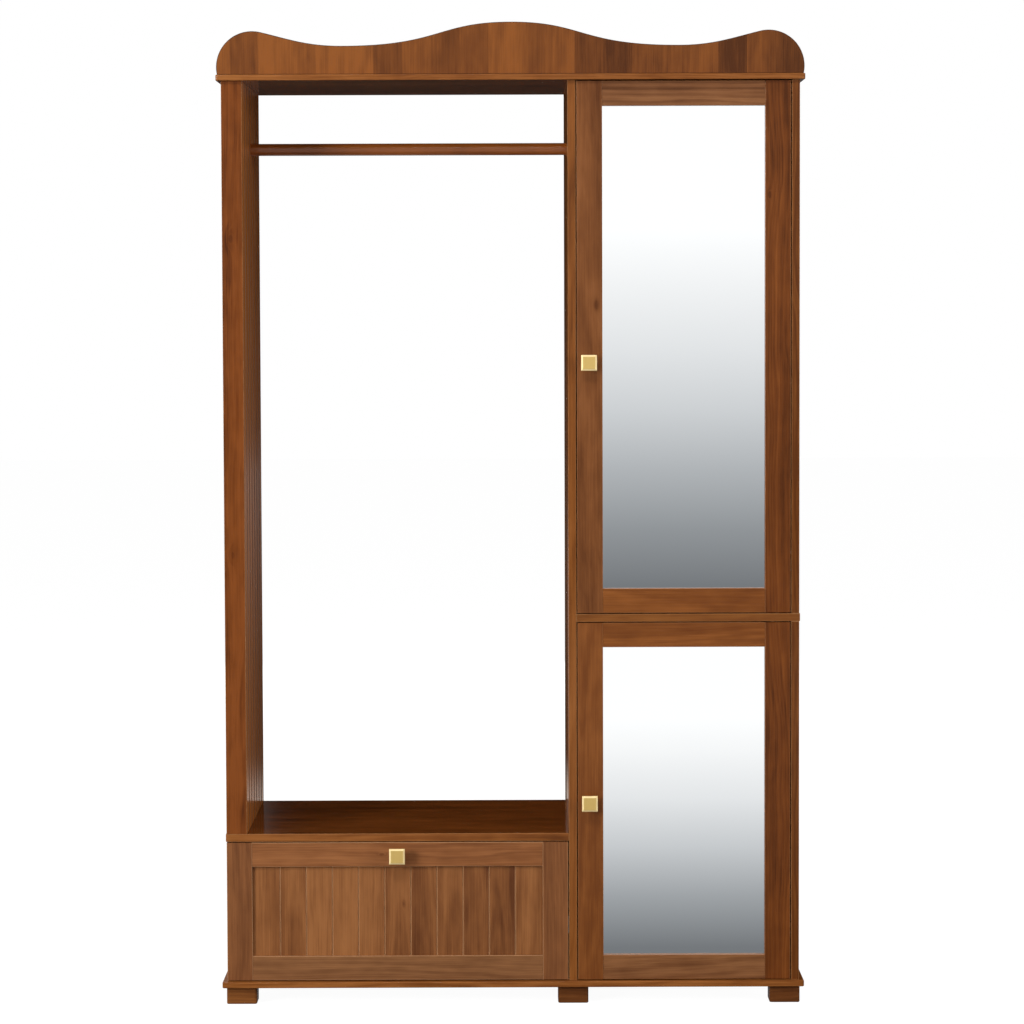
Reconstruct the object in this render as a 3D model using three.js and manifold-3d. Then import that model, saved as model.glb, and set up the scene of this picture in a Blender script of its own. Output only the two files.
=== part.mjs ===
// An open-front wardrobe in walnut-faced board: an open hanging bay over one wide drawer on the
// left, and a column with two mirrored doors on the right, under a scalloped crown.
// Millimetres. X runs across the front, Y from front to back, Z up from the floor.
// The origin is on the floor, in the middle of the whole object's width and depth.

import * as THREE from "three";
import { mergeVertices } from "three/addons/utils/BufferGeometryUtils.js";
import Module from "manifold-3d";

const wasm = await Module();
wasm.setup();

// Carcass
const carcassWidth = 1170;
const carcassDepth = 376;
const columnHeight = 1836;
const boardThickness = 16;
const backThickness = 4;
const leftWallThickness = 42;
const bayWidth = 658;
const drawerBayHeight = 288;
const lowerCupboardHeight = 737;
const boardProud = 1.5;
const hairline = 0.2;

// Top and base boards, crown and feet
const edgeBoardThickness = 12;
const edgeBoardOverhang = 10;
const edgeBoardCorner = 5;
const edgeBoardRounding = 1.5;
const edgeBoardCornerSteps = 5;
const crownThickness = 16;
const crownSetback = 8;
const crownEndInset = 1;
const crownPeak = 105;
const crownDip = 57.5;
const crownDipFromCentre = 340;
const crownEndRadius = 72.5;
const crownEndCentreHeight = 15;
const crownShoulderAngle = 13.5;
const crownPeakHandle = 148;
const crownPeakToDipHandle = 200;
const crownDipToEndHandle = 70;
const crownShoulderHandle = 60;
const crownSteps = 20;
const footWidth = 62;
const footDepth = 45;
const footHeight = 35;
const footInset = 8;
const footCorner = 3;
const footRounding = 2;
const footCornerSteps = 3;
const roundingSteps = 2;

// Grooved boards
const plankPitch = 53.5;
const grooveWidth = 3;
const grooveDepth = 2;

// Left wall
const wallPostCap = 4;
const wallPostTongue = 40;

// Hanging rod
const rodRadius = 12.5;
const rodDrop = 128;
const rodHoleDepth = 9;
const rodClearance = 0.3;
const roundSteps = 32;

// Shelves inside the cupboards
const shelfSetback = 40;
const upperShelfRise = 533;
const lowerShelfRise = 360;

// Doors and drawer front
const frontThickness = 18;
const frontGap = 2;
const stileWidth = 52;
const railWidth = 50;
const arris = 1;
const rabbetWidth = 8;
const rabbetFromFront = 8;
const paneClearance = 0.5;
const mirrorThickness = 4;
const mirrorBackingThickness = 3;
const panelSlotDepth = 8;
const panelRecess = 6;
const panelThickness = 8;
const upperKnobRise = 510;
const lowerKnobRise = 366;
const knobFromDoorEdge = 24;

// Square knob
const knobSide = 32;
const knobHeadThickness = 9;
const knobChamferWidth = 4.5;
const knobChamferDepth = 1.8;
const knobBackTaper = 3;
const knobReach = 26;
const knobStemRadius = 7;
const knobFootRadius = 9.5;
const knobFootThickness = 2.5;
const knobFootTaper = 2.5;

// Concealed hinges
const hingeFromDoorEnd = 100;
const cupRadius = 17.5;
const cupDepth = 11.5;
const cupWall = 1.2;
const cupFromDoorEdge = 22.5;
const cupFlangeLength = 56;
const cupFlangeWidth = 16;
const cupFlangeThickness = 1.2;
const cupClearance = 0.3;
const cupEarThickness = 1.5;
const cupEarWidth = 15;
const cupEarRise = 5;
const armClearance = 0.3;
const armTipDip = 3;
const armTipWidth = 13;
const armHeight = 12;
const armThickness = 7;
const armTipRise = 3.5;
const armElbowRise = 10.5;
const armElbowTop = 12.25;
const armElbowHandle = 14;
const armShoulder = 20;
const armLength = 42;
const armCurveSteps = 6;
const hingePlateThickness = 3;
const hingePlateHeight = 50;
const hingePlateWidth = 14;

// Drawer box and its runners
const runnerThickness = 12.5;
const runnerHeight = 35;
const runnerLength = 350;
const runnerSheet = 1.25;
const runnerLip = 5;
const runnerLipFromWeb = 6.5;
const slideBrimFromWeb = 3.5;
const slideHatHeight = 22;
const slideClearance = 0.3;
const drawerSideHeight = 200;
const drawerSideThickness = 16;
const drawerFloorClearance = 12;
const drawerBottomThickness = 6;
const drawerBottomRise = 12;
const drawerGrooveDepth = 7;

// Working values: how far a cutter stands past what it cuts, and how near two points are one
const cutterOvershoot = 1;
const mergeTolerance = 1e-4;

// Levels and lines that follow from the sizes
const baseUnder = footHeight;
const baseTop = baseUnder + edgeBoardThickness;
const topUnder = baseTop + columnHeight;
const topTop = topUnder + edgeBoardThickness;
const middleUnder = baseTop + lowerCupboardHeight;
const middleTop = middleUnder + boardThickness;
const shelfUnder = baseTop + drawerBayHeight;
const shelfTop = shelfUnder + boardThickness;
const overallDepth = knobReach + carcassDepth + backThickness;
const frontY = knobReach - overallDepth / 2;
const rearY = frontY + carcassDepth;
const midY = (frontY + rearY) / 2;
const leftX = -carcassWidth / 2;
const rightX = carcassWidth / 2;
const bayLeft = leftX + leftWallThickness;
const dividerLeft = bayLeft + bayWidth;
const dividerRight = dividerLeft + boardThickness;
const rightSideInner = rightX - boardThickness;
const leftSideInner = leftX + boardThickness;
const frontRearY = frontY + frontThickness;
const cupMouthY = hairline + cupFlangeThickness;

function woodFinish(color) {
  return new THREE.MeshStandardMaterial({ color, roughness: 0.45, metalness: 0 });
}

const carcassWalnut = woodFinish(0x7d4f28);
const frontWalnut = woodFinish(0x7f5030);
const rodWalnut = new THREE.MeshStandardMaterial({ color: 0x5a3318, roughness: 0.25, metalness: 0 });
const hardboard = new THREE.MeshStandardMaterial({ color: 0x6a4526, roughness: 0.7, metalness: 0 });
const satinBrass = new THREE.MeshStandardMaterial({ color: 0xd0b06c, roughness: 0.35, metalness: 1 });
const mirrorGlass = new THREE.MeshStandardMaterial({ color: 0xeef1f2, roughness: 0.02, metalness: 1 });
const plainSteel = new THREE.MeshStandardMaterial({ color: 0xb4b7b9, roughness: 0.35, metalness: 1 });

const wardrobe = new THREE.Group();

function addPiece(parent, name, geometry, material, position = [0, 0, 0]) {
  const piece = new THREE.Mesh(geometry, material);
  piece.name = name;
  piece.position.set(...position);
  parent.add(piece);
  return piece;
}

// Solids for joining and cutting

function toSolid(geometry) {
  const bare = geometry.clone();
  bare.deleteAttribute("normal");
  bare.deleteAttribute("uv");
  const merged = mergeVertices(bare, mergeTolerance);
  return new wasm.Manifold(
    new wasm.Mesh({
      numProp: 3,
      vertProperties: new Float32Array(merged.attributes.position.array),
      triVerts: new Uint32Array(merged.index.array),
    })
  );
}

function toGeometry(solid) {
  const mesh = solid.getMesh();
  const geometry = new THREE.BufferGeometry();
  geometry.setAttribute("position", new THREE.BufferAttribute(mesh.vertProperties, 3));
  geometry.setIndex(new THREE.BufferAttribute(mesh.triVerts, 1));
  geometry.computeVertexNormals();
  return geometry;
}

function cut(geometry, ...tools) {
  return toGeometry(tools.reduce((solid, tool) => solid.subtract(toSolid(tool)), toSolid(geometry)));
}

function join(...geometries) {
  return toGeometry(geometries.map(toSolid).reduce((whole, solid) => whole.add(solid)));
}

// A rectangular block between two values on each axis
function block([x0, x1], [y0, y1], [z0, z1]) {
  const box = new THREE.BoxGeometry(x1 - x0, y1 - y0, z1 - z0);
  box.translate((x0 + x1) / 2, (y0 + y1) / 2, (z0 + z1) / 2);
  return box;
}

function outline(points) {
  return new THREE.Shape(points.map(([x, y]) => new THREE.Vector2(x, y)));
}

// A section drawn in X and Y that runs up Z
function extrudeUp(shape, height, settings = {}) {
  return new THREE.ExtrudeGeometry(shape, { depth: height, bevelEnabled: false, ...settings });
}

// A section drawn in Y and Z that runs along X
function extrudeAcross(shape, length) {
  const bar = extrudeUp(shape, length);
  bar.applyMatrix4(new THREE.Matrix4().set(0, 0, 1, 0, 1, 0, 0, 0, 0, 1, 0, 0, 0, 0, 0, 1));
  return bar;
}

// A section drawn in X and Z that runs back along Y
function extrudeBack(shape, length) {
  const bar = extrudeUp(shape, length);
  bar.rotateX(Math.PI / 2);
  bar.translate(0, length, 0);
  return bar;
}

// A round bar or bore along Y or X, from the origin outwards
function rodAlongY(radius, length) {
  const rod = new THREE.CylinderGeometry(radius, radius, length, roundSteps);
  rod.translate(0, length / 2, 0);
  return rod;
}

function rodAlongX(radius, length) {
  return rodAlongY(radius, length).rotateZ(-Math.PI / 2);
}

function addBoard(name, xs, ys, zs, material = carcassWalnut) {
  const centre = [xs, ys, zs].map(([low, high]) => (low + high) / 2);
  const sizes = [xs, ys, zs].map(([low, high]) => high - low);
  return addPiece(wardrobe, name, new THREE.BoxGeometry(...sizes), material, centre);
}

// Top and base boards: their front corners are rounded and all their edges are eased
function edgeBoardGeometry() {
  const half = carcassWidth / 2 + edgeBoardOverhang - edgeBoardRounding;
  const front = frontY - edgeBoardOverhang + edgeBoardRounding;
  const rear = rearY - edgeBoardRounding;
  const shape = new THREE.Shape();
  shape.moveTo(half, rear);
  shape.lineTo(-half, rear);
  const cornerX = half - edgeBoardCorner;
  const cornerY = front + edgeBoardCorner;
  shape.absarc(-cornerX, cornerY, edgeBoardCorner, Math.PI, 1.5 * Math.PI);
  shape.absarc(cornerX, cornerY, edgeBoardCorner, 1.5 * Math.PI, 2 * Math.PI);
  shape.closePath();
  const board = extrudeUp(shape, edgeBoardThickness - 2 * edgeBoardRounding, {
    bevelEnabled: true,
    bevelThickness: edgeBoardRounding,
    bevelSize: edgeBoardRounding,
    bevelSegments: roundingSteps,
    curveSegments: edgeBoardCornerSteps,
  });
  board.translate(0, 0, edgeBoardRounding);
  return board;
}

addPiece(wardrobe, "base_board", edgeBoardGeometry(), carcassWalnut, [0, 0, baseUnder]);
addPiece(wardrobe, "top_board", edgeBoardGeometry(), carcassWalnut, [0, 0, topUnder]);

// Crown: a round end, a straight shoulder, a dip and a broad middle arch, the same on both sides
function crownGeometry() {
  const half = carcassWidth / 2 + edgeBoardOverhang - crownEndInset;
  const endCentre = half - crownEndRadius;
  const shoulder = THREE.MathUtils.degToRad(crownShoulderAngle);
  const footAngle = Math.asin(crownEndCentreHeight / crownEndRadius);
  const shoulderX = endCentre - crownEndRadius * Math.sin(shoulder);
  const shoulderZ = crownEndCentreHeight + crownEndRadius * Math.cos(shoulder);
  const handleX = crownShoulderHandle * Math.cos(shoulder);
  const handleZ = crownShoulderHandle * Math.sin(shoulder);
  const shape = new THREE.Shape();
  shape.moveTo(endCentre + crownEndRadius * Math.cos(footAngle), 0);
  shape.absarc(endCentre, crownEndCentreHeight, crownEndRadius, -footAngle, Math.PI / 2 + shoulder);
  shape.bezierCurveTo(
    shoulderX - handleX, shoulderZ - handleZ,
    crownDipFromCentre + crownDipToEndHandle, crownDip,
    crownDipFromCentre, crownDip
  );
  shape.bezierCurveTo(
    crownDipFromCentre - crownPeakToDipHandle, crownDip,
    crownPeakHandle, crownPeak,
    0, crownPeak
  );
  const right = shape.getPoints(crownSteps);
  const left = right.slice(0, -1).reverse().map((p) => new THREE.Vector2(-p.x, p.y));
  return extrudeBack(new THREE.Shape([...right, ...left]), crownThickness);
}

const crownFrontY = frontY - edgeBoardOverhang + crownSetback;
addPiece(wardrobe, "crown_board", crownGeometry(), frontWalnut, [0, crownFrontY, topTop + hairline]);

// Feet: six solid blocks, at the two ends and under the divider
function footGeometry() {
  const x = footWidth / 2 - footRounding;
  const y = footDepth / 2 - footRounding;
  const shape = new THREE.Shape();
  shape.absarc(x - footCorner, y - footCorner, footCorner, 0, 0.5 * Math.PI);
  shape.absarc(footCorner - x, y - footCorner, footCorner, 0.5 * Math.PI, Math.PI);
  shape.absarc(footCorner - x, footCorner - y, footCorner, Math.PI, 1.5 * Math.PI);
  shape.absarc(x - footCorner, footCorner - y, footCorner, 1.5 * Math.PI, 2 * Math.PI);
  shape.closePath();
  const foot = extrudeUp(shape, footHeight - hairline - 2 * footRounding, {
    bevelEnabled: true,
    bevelThickness: footRounding,
    bevelSize: footRounding,
    bevelSegments: roundingSteps,
    curveSegments: footCornerSteps,
  });
  foot.translate(0, 0, footRounding);
  return foot;
}

const footEndX = carcassWidth / 2 + edgeBoardOverhang - footInset - footWidth / 2;
const footColumns = { left: -footEndX, middle: (dividerLeft + dividerRight) / 2, right: footEndX };
const footRows = { front: frontY + footDepth / 2, rear: rearY - footDepth / 2 };
for (const [row, y] of Object.entries(footRows)) {
  for (const [column, x] of Object.entries(footColumns)) {
    addPiece(wardrobe, `foot_${row}_${column}`, footGeometry(), carcassWalnut, [x, y, 0]);
  }
}

// Carcass boards, each a hairline short of the board that it butts against
const depthSpan = [frontY, rearY];
const columnSpan = [baseTop + hairline, topUnder - hairline];
const rodZ = topUnder - rodDrop;

const divider = cut(
  block([0, boardThickness], depthSpan, columnSpan),
  rodAlongX(rodRadius + rodClearance, rodHoleDepth * 2).translate(-rodHoleDepth, midY, rodZ)
);
addPiece(wardrobe, "divider_panel", divider, carcassWalnut, [dividerLeft, 0, 0]);
const rightSideXs = [rightSideInner, rightX];
const lowerSideZs = [baseTop + hairline, middleUnder - hairline];
const upperSideZs = [middleTop + hairline, topUnder - hairline];
addBoard("right_side_lower", rightSideXs, depthSpan, lowerSideZs);
addBoard("right_side_upper", rightSideXs, depthSpan, upperSideZs);
const middleBoardXs = [dividerRight + hairline, rightX + boardProud];
addBoard("middle_board", middleBoardXs, depthSpan, [middleUnder, middleTop]);
const bayShelfXs = [leftX - boardProud, dividerLeft - hairline];
addBoard("bay_shelf", bayShelfXs, depthSpan, [shelfUnder, shelfTop]);
const leftSideYs = [frontRearY + frontGap, rearY];
const leftSideZs = [baseTop + hairline, shelfUnder - hairline];
addBoard("left_side_lower", [leftX, leftSideInner], leftSideYs, leftSideZs);

const shelfXs = [dividerRight + hairline, rightSideInner - hairline];
const shelfYs = [frontY + shelfSetback, rearY];
const upperShelfZ = middleTop + upperShelfRise;
const lowerShelfZ = baseTop + lowerShelfRise;
addBoard("upper_cupboard_shelf", shelfXs, shelfYs, [upperShelfZ, upperShelfZ + boardThickness]);
addBoard("lower_cupboard_shelf", shelfXs, shelfYs, [lowerShelfZ, lowerShelfZ + boardThickness]);

// Thin backs, laid on the rear edges of the boards around them
const backYs = [rearY + hairline, rearY + backThickness];
const dividerMiddle = (dividerLeft + dividerRight) / 2;
addBoard(
  "back_panel_cupboards",
  [dividerMiddle + frontGap, rightX - frontGap],
  backYs,
  [baseUnder + frontGap, topTop - frontGap],
  hardboard
);
addBoard(
  "back_panel_drawer_bay",
  [leftX + frontGap, dividerMiddle - frontGap],
  backYs,
  [baseUnder + frontGap, shelfTop - frontGap],
  hardboard
);

// Where the V grooves of a grooved board lie, measured from its middle
function grooveCentres(length) {
  const planks = Math.max(1, Math.round(length / plankPitch));
  return Array.from({ length: planks - 1 }, (_, i) => (i + 1 - planks / 2) * plankPitch);
}

// The plan of a grooved board: it runs along X about its middle, with its grooves cut down from Y = 0
function groovedPlan(length, thickness) {
  const grooved = grooveCentres(length).flatMap((x) => [
    [x - grooveWidth / 2, 0],
    [x, grooveDepth],
    [x + grooveWidth / 2, 0],
  ]);
  const end = length / 2;
  return outline([[-end, 0], ...grooved, [end, 0], [end, thickness], [-end, thickness]]);
}

// Left wall: a plain outer board and a grooved inner one, held apart by the tongues of two posts
const wallZs = [shelfTop + hairline, topUnder - hairline];
const wallHeight = wallZs[1] - wallZs[0];
const wallBoardYs = [frontY + wallPostCap + hairline, rearY - wallPostCap - hairline];
addBoard("left_wall_outer_board", [leftX, leftSideInner], wallBoardYs, wallZs);

const groovedWall = cut(
  extrudeUp(groovedPlan(wallBoardYs[1] - wallBoardYs[0], boardThickness), wallHeight)
    .rotateZ(Math.PI / 2),
  rodAlongX(rodRadius + rodClearance, rodHoleDepth * 2).translate(-rodHoleDepth, 0, rodZ - wallZs[0])
);
addPiece(wardrobe, "left_wall_grooved_board", groovedWall, carcassWalnut, [bayLeft, midY, wallZs[0]]);

// A post is a T in plan: its cap covers the edges of both boards and its tongue fits between them
function wallPostGeometry() {
  const cavity = leftWallThickness - 2 * boardThickness - 2 * hairline;
  const tongueLow = boardThickness + hairline;
  const tongueHigh = tongueLow + cavity;
  const tongueEnd = wallPostCap + wallPostTongue;
  return extrudeUp(
    outline([
      [0, 0],
      [leftWallThickness, 0],
      [leftWallThickness, wallPostCap],
      [tongueHigh, wallPostCap],
      [tongueHigh, tongueEnd],
      [tongueLow, tongueEnd],
      [tongueLow, wallPostCap],
      [0, wallPostCap],
    ]),
    wallHeight
  );
}

addPiece(wardrobe, "left_wall_front_post", wallPostGeometry(), carcassWalnut, [leftX, frontY, wallZs[0]]);
const rearPost = addPiece(
  wardrobe,
  "left_wall_rear_post",
  wallPostGeometry(),
  carcassWalnut,
  [bayLeft, rearY, wallZs[0]]
);
rearPost.rotation.z = Math.PI;

// Hanging rod, let into blind holes in the grooved board and the divider
const rodLength = bayWidth + 2 * (rodHoleDepth - rodClearance);
const rodStart = bayLeft - rodHoleDepth + rodClearance;
addPiece(wardrobe, "hanging_rod", rodAlongX(rodRadius, rodLength), rodWalnut, [rodStart, midY, rodZ]);

// Square knob: it stands on a round foot and stem, and its face has a wide chamfered rim.
// Drawn towards -Y from the surface that it is screwed to.
function knobGeometry() {
  const halfDiagonal = knobSide / Math.SQRT2;
  const headRear = knobReach - knobHeadThickness;
  const profile = [
    [0, headRear - hairline],
    [halfDiagonal - knobBackTaper * Math.SQRT2, headRear],
    [halfDiagonal, headRear + knobBackTaper],
    [halfDiagonal, knobReach - knobChamferDepth],
    [halfDiagonal - knobChamferWidth * Math.SQRT2, knobReach],
    [0, knobReach],
  ].map(([r, h]) => new THREE.Vector2(r, h));
  const head = new THREE.LatheGeometry(profile, 4).rotateY(Math.PI / 4);
  const stemProfile = [
    [0, hairline],
    [knobFootRadius, hairline],
    [knobFootRadius, knobFootThickness],
    [knobStemRadius, knobFootThickness + knobFootTaper],
    [knobStemRadius, headRear + knobBackTaper],
    [0, headRear + knobBackTaper],
  ].map(([r, h]) => new THREE.Vector2(r, h));
  const stem = new THREE.LatheGeometry(stemProfile, roundSteps);
  return join(head, stem).rotateZ(Math.PI);
}

// The section of a stile or rail, drawn from its outer edge to its inner edge and from the front back.
// A door's has a rabbet behind its inner edge for the mirror, a drawer's a slot for the panel.
function frameSection(width, holdsMirror) {
  const front = [[arris, 0], [width - arris, 0], [width, arris]];
  const rear = [[0, frontThickness], [0, arris]];
  if (holdsMirror) {
    const seat = width - rabbetWidth;
    return outline([
      ...front,
      [width, rabbetFromFront],
      [seat, rabbetFromFront],
      [seat, frontThickness],
      ...rear,
    ]);
  }
  const slot = width - panelSlotDepth;
  const slotFront = panelRecess - hairline;
  const slotRear = panelRecess + panelThickness + hairline;
  return outline([
    ...front,
    [width, slotFront],
    [slot, slotFront],
    [slot, slotRear],
    [width, slotRear],
    [width, frontThickness],
    ...rear,
  ]);
}

// A rail's ends are cut back so that they lap into the stiles' rabbets, or enter their slots as tenons
function railGeometry(sightWidth, holdsMirror) {
  const overlap = (holdsMirror ? rabbetWidth : panelSlotDepth) - hairline;
  const length = sightWidth + 2 * overlap;
  const section = frameSection(railWidth, holdsMirror);
  const turned = outline(section.getPoints().map((p) => [p.y, p.x]));
  const bar = extrudeAcross(turned, length).translate(-overlap, 0, 0);
  const tall = [-cutterOvershoot, railWidth + cutterOvershoot];
  const ends = [
    [-overlap - cutterOvershoot, hairline],
    [sightWidth - hairline, sightWidth + overlap + cutterOvershoot],
  ];
  const frontLayer = [-cutterOvershoot, holdsMirror ? rabbetFromFront + hairline : panelRecess];
  const rearLayer = [panelRecess + panelThickness, frontThickness + cutterOvershoot];
  const tools = ends.map((xs) => block(xs, frontLayer, tall));
  if (!holdsMirror) tools.push(...ends.map((xs) => block(xs, rearLayer, tall)));
  return cut(bar, ...tools);
}

// A frame of two full-height stiles with two rails between them. Its own origin is the outer
// bottom left corner of its front face. Returns the opening between stiles and rails.
function addFrame(group, prefix, width, height, holdsMirror, rightStileBores = []) {
  const sightWidth = width - 2 * stileWidth;
  const sightHeight = height - 2 * railWidth;
  const stile = () => extrudeUp(frameSection(stileWidth, holdsMirror), height);
  const mirrored = toGeometry(toSolid(stile()).mirror([1, 0, 0]).translate([width, 0, 0]));
  const rightStile = rightStileBores.length ? cut(mirrored, ...rightStileBores) : mirrored;
  const rail = railGeometry(sightWidth, holdsMirror);
  const topRail = toGeometry(toSolid(rail).mirror([0, 0, 1]));
  addPiece(group, `${prefix}_stile_left`, stile(), frontWalnut);
  addPiece(group, `${prefix}_stile_right`, rightStile, frontWalnut);
  addPiece(group, `${prefix}_rail_top`, topRail, frontWalnut, [stileWidth, 0, height]);
  addPiece(group, `${prefix}_rail_bottom`, rail, frontWalnut, [stileWidth, 0, 0]);
  return { sightWidth, sightHeight };
}

// Hinge cup: a bowl sunk in the stile and a long flange on its rear face, open to the rear, with
// two ears that stand in it on either side of the arm's tip.
// Drawn about the bowl's axis, with Y = 0 on the stile's rear face.
function hingeCupGeometry() {
  const halfFlange = cupFlangeLength / 2 - cupFlangeWidth / 2;
  const flangeShape = new THREE.Shape();
  flangeShape.absarc(0, halfFlange, cupFlangeWidth / 2, 0, Math.PI);
  flangeShape.absarc(0, -halfFlange, cupFlangeWidth / 2, Math.PI, 2 * Math.PI);
  flangeShape.closePath();
  const flange = extrudeBack(flangeShape, cupFlangeThickness).translate(0, hairline, 0);
  const bowlFloor = cupMouthY - cupDepth;
  const bowl = rodAlongY(cupRadius, cupDepth).translate(0, bowlFloor, 0);
  const hollow = rodAlongY(cupRadius - cupWall, cupDepth).translate(0, bowlFloor + cupWall, 0);
  const earInner = armHeight / 2 + armClearance;
  const earXs = [-cupEarWidth / 2, cupEarWidth / 2];
  const earYs = [bowlFloor + cupWall / 2, cupMouthY + cupEarRise];
  const topEar = toSolid(block(earXs, earYs, [earInner, earInner + cupEarThickness]));
  const bowlAndFlange = toSolid(flange).add(toSolid(bowl)).subtract(toSolid(hollow));
  return toGeometry(bowlAndFlange.add(topEar).add(topEar.mirror([0, 0, 1])));
}

// Hinge arm: a wing plate on the cupboard's side with an arm that cranks over into the cup's mouth.
// Drawn with X = 0 on the side's inner face and Y = 0 on the door's rear face.
function hingeArmGeometry() {
  const cupX = frontGap + cupFromDoorEdge;
  const bendY = cupMouthY + armShoulder;
  const rearEnd = bendY + armLength;
  const wingY = (bendY + rearEnd) / 2;
  const wingShape = new THREE.Shape();
  const halfWing = hingePlateHeight / 2 - hingePlateWidth / 2;
  wingShape.absarc(wingY, halfWing, hingePlateWidth / 2, 0, Math.PI);
  wingShape.absarc(wingY, -halfWing, hingePlateWidth / 2, Math.PI, 2 * Math.PI);
  wingShape.closePath();
  const wing = extrudeAcross(wingShape, hingePlateThickness);
  wing.translate(-hairline - hingePlateThickness, 0, 0);
  const tipNear = armTipWidth / 2 - cupX;
  const tipFar = -armTipWidth / 2 - cupX;
  const armFace = -hairline - hingePlateThickness / 2;
  const armBack = armFace - armThickness;
  const tipY = cupMouthY - armTipDip;
  const tipTopY = cupMouthY + armTipRise;
  const arm = new THREE.Shape();
  arm.moveTo(armFace, rearEnd);
  arm.lineTo(armFace, bendY);
  arm.quadraticCurveTo(armFace, tipTopY, tipNear, tipTopY);
  arm.lineTo(tipNear, tipY);
  arm.lineTo(tipFar, tipY);
  arm.lineTo(tipFar, tipTopY);
  arm.quadraticCurveTo(tipFar, cupMouthY + armElbowRise, tipNear, cupMouthY + armElbowTop);
  arm.quadraticCurveTo(armBack, cupMouthY + armElbowHandle, armBack, bendY + armThickness);
  arm.lineTo(armBack, rearEnd);
  arm.closePath();
  const bar = extrudeUp(arm, armHeight, { curveSegments: armCurveSteps });
  bar.translate(0, 0, -armHeight / 2);
  return join(wing, bar);
}

// A mirrored door, hinged at its right-hand side. Its own origin is its front bottom left corner.
const doorLeft = dividerRight + frontGap;
const doorWidth = rightSideInner - frontGap - doorLeft;

function addDoor(prefix, bottomZ, topZ, knobRise) {
  const door = new THREE.Group();
  door.position.set(doorLeft, frontY, bottomZ);
  wardrobe.add(door);
  const height = topZ - bottomZ;
  const cupX = doorWidth - cupFromDoorEdge;
  const hingeZs = { bottom: hingeFromDoorEnd, top: height - hingeFromDoorEnd };
  const boreDepth = cupDepth + cupClearance;
  const bores = Object.values(hingeZs).map((z) =>
    rodAlongY(cupRadius + cupClearance, boreDepth * 2).translate(cupX, frontThickness - boreDepth, z)
  );
  const { sightWidth, sightHeight } = addFrame(door, prefix, doorWidth, height, true, bores);
  const paneMargin = rabbetWidth - paneClearance;
  const paneXs = [stileWidth - paneMargin, stileWidth + sightWidth + paneMargin];
  const paneZs = [railWidth - paneMargin, railWidth + sightHeight + paneMargin];
  const mirrorFront = rabbetFromFront + hairline;
  const backingFront = mirrorFront + mirrorThickness + hairline;
  const mirror = block(paneXs, [mirrorFront, mirrorFront + mirrorThickness], paneZs);
  const backing = block(paneXs, [backingFront, backingFront + mirrorBackingThickness], paneZs);
  addPiece(door, `${prefix}_mirror`, mirror, mirrorGlass);
  addPiece(door, `${prefix}_backing`, backing, hardboard);
  addPiece(door, `${prefix}_knob`, knobGeometry(), satinBrass, [knobFromDoorEdge, 0, knobRise]);
  for (const [end, z] of Object.entries(hingeZs)) {
    const cupPlace = [cupX, frontThickness, z];
    const armPlace = [rightSideInner, frontRearY, bottomZ + z];
    addPiece(door, `${prefix}_hinge_cup_${end}`, hingeCupGeometry(), plainSteel, cupPlace);
    addPiece(wardrobe, `${prefix}_hinge_arm_${end}`, hingeArmGeometry(), plainSteel, armPlace);
  }
}

addDoor("upper_door", middleTop + frontGap, topUnder - frontGap, upperKnobRise);
addDoor("lower_door", baseTop + frontGap, middleUnder - frontGap, lowerKnobRise);

// Drawer: a framed and grooved front that laps over the left side, on a box with side runners.
// Its own origin is the front bottom left corner of its front.
const drawer = new THREE.Group();
const drawerFrontZ = baseTop + frontGap;
drawer.position.set(leftX, frontY, drawerFrontZ);
wardrobe.add(drawer);
const drawerFrontWidth = dividerLeft - frontGap - leftX;
const drawerFrontHeight = drawerBayHeight - 2 * frontGap;
const drawerSight = addFrame(drawer, "drawer_front", drawerFrontWidth, drawerFrontHeight, false);

const panelMargin = panelSlotDepth - paneClearance;
const panelWidth = drawerSight.sightWidth + 2 * panelMargin;
const panelHeight = drawerSight.sightHeight + 2 * panelMargin;
const panel = extrudeUp(groovedPlan(panelWidth, panelThickness), panelHeight);
const panelPlace = [drawerFrontWidth / 2, panelRecess, railWidth - panelMargin];
addPiece(drawer, "drawer_front_panel", panel, frontWalnut, panelPlace);
const drawerKnobPlace = [drawerFrontWidth / 2, 0, drawerFrontHeight - railWidth / 2];
addPiece(drawer, "drawer_knob", knobGeometry(), satinBrass, drawerKnobPlace);

// Box: the bottom slides into grooves in the sides and back, and butts against the front's bottom rail
const boxLeft = boardThickness + runnerThickness;
const boxRight = drawerFrontWidth + frontGap - runnerThickness;
const boxFront = frontThickness + hairline;
const boxRear = frontThickness + runnerLength;
const boxFloor = drawerFloorClearance - frontGap;
const boxZs = [boxFloor, boxFloor + drawerSideHeight];
const bottomZs = [boxFloor + drawerBottomRise, boxFloor + drawerBottomRise + drawerBottomThickness];
const innerLeft = boxLeft + drawerSideThickness;
const innerRight = boxRight - drawerSideThickness;
const bottomXs = [innerLeft - drawerGrooveDepth + hairline, innerRight + drawerGrooveDepth - hairline];
const backInner = boxRear - drawerSideThickness;
const grooveZs = [bottomZs[0] - hairline, bottomZs[1] + hairline];
const bottomGroove = block(
  [innerLeft - drawerGrooveDepth, innerRight + drawerGrooveDepth],
  [boxFront - cutterOvershoot, backInner + drawerGrooveDepth],
  grooveZs
);
const sideYs = [boxFront, boxRear];
const leftBoxSide = cut(block([boxLeft, innerLeft], sideYs, boxZs), bottomGroove);
const rightBoxSide = cut(block([innerRight, boxRight], sideYs, boxZs), bottomGroove);
addPiece(drawer, "drawer_side_left", leftBoxSide, carcassWalnut);
addPiece(drawer, "drawer_side_right", rightBoxSide, carcassWalnut);
const backBoard = block([innerLeft + hairline, innerRight - hairline], [backInner, boxRear], boxZs);
addPiece(drawer, "drawer_back", cut(backBoard, bottomGroove), carcassWalnut);
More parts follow.
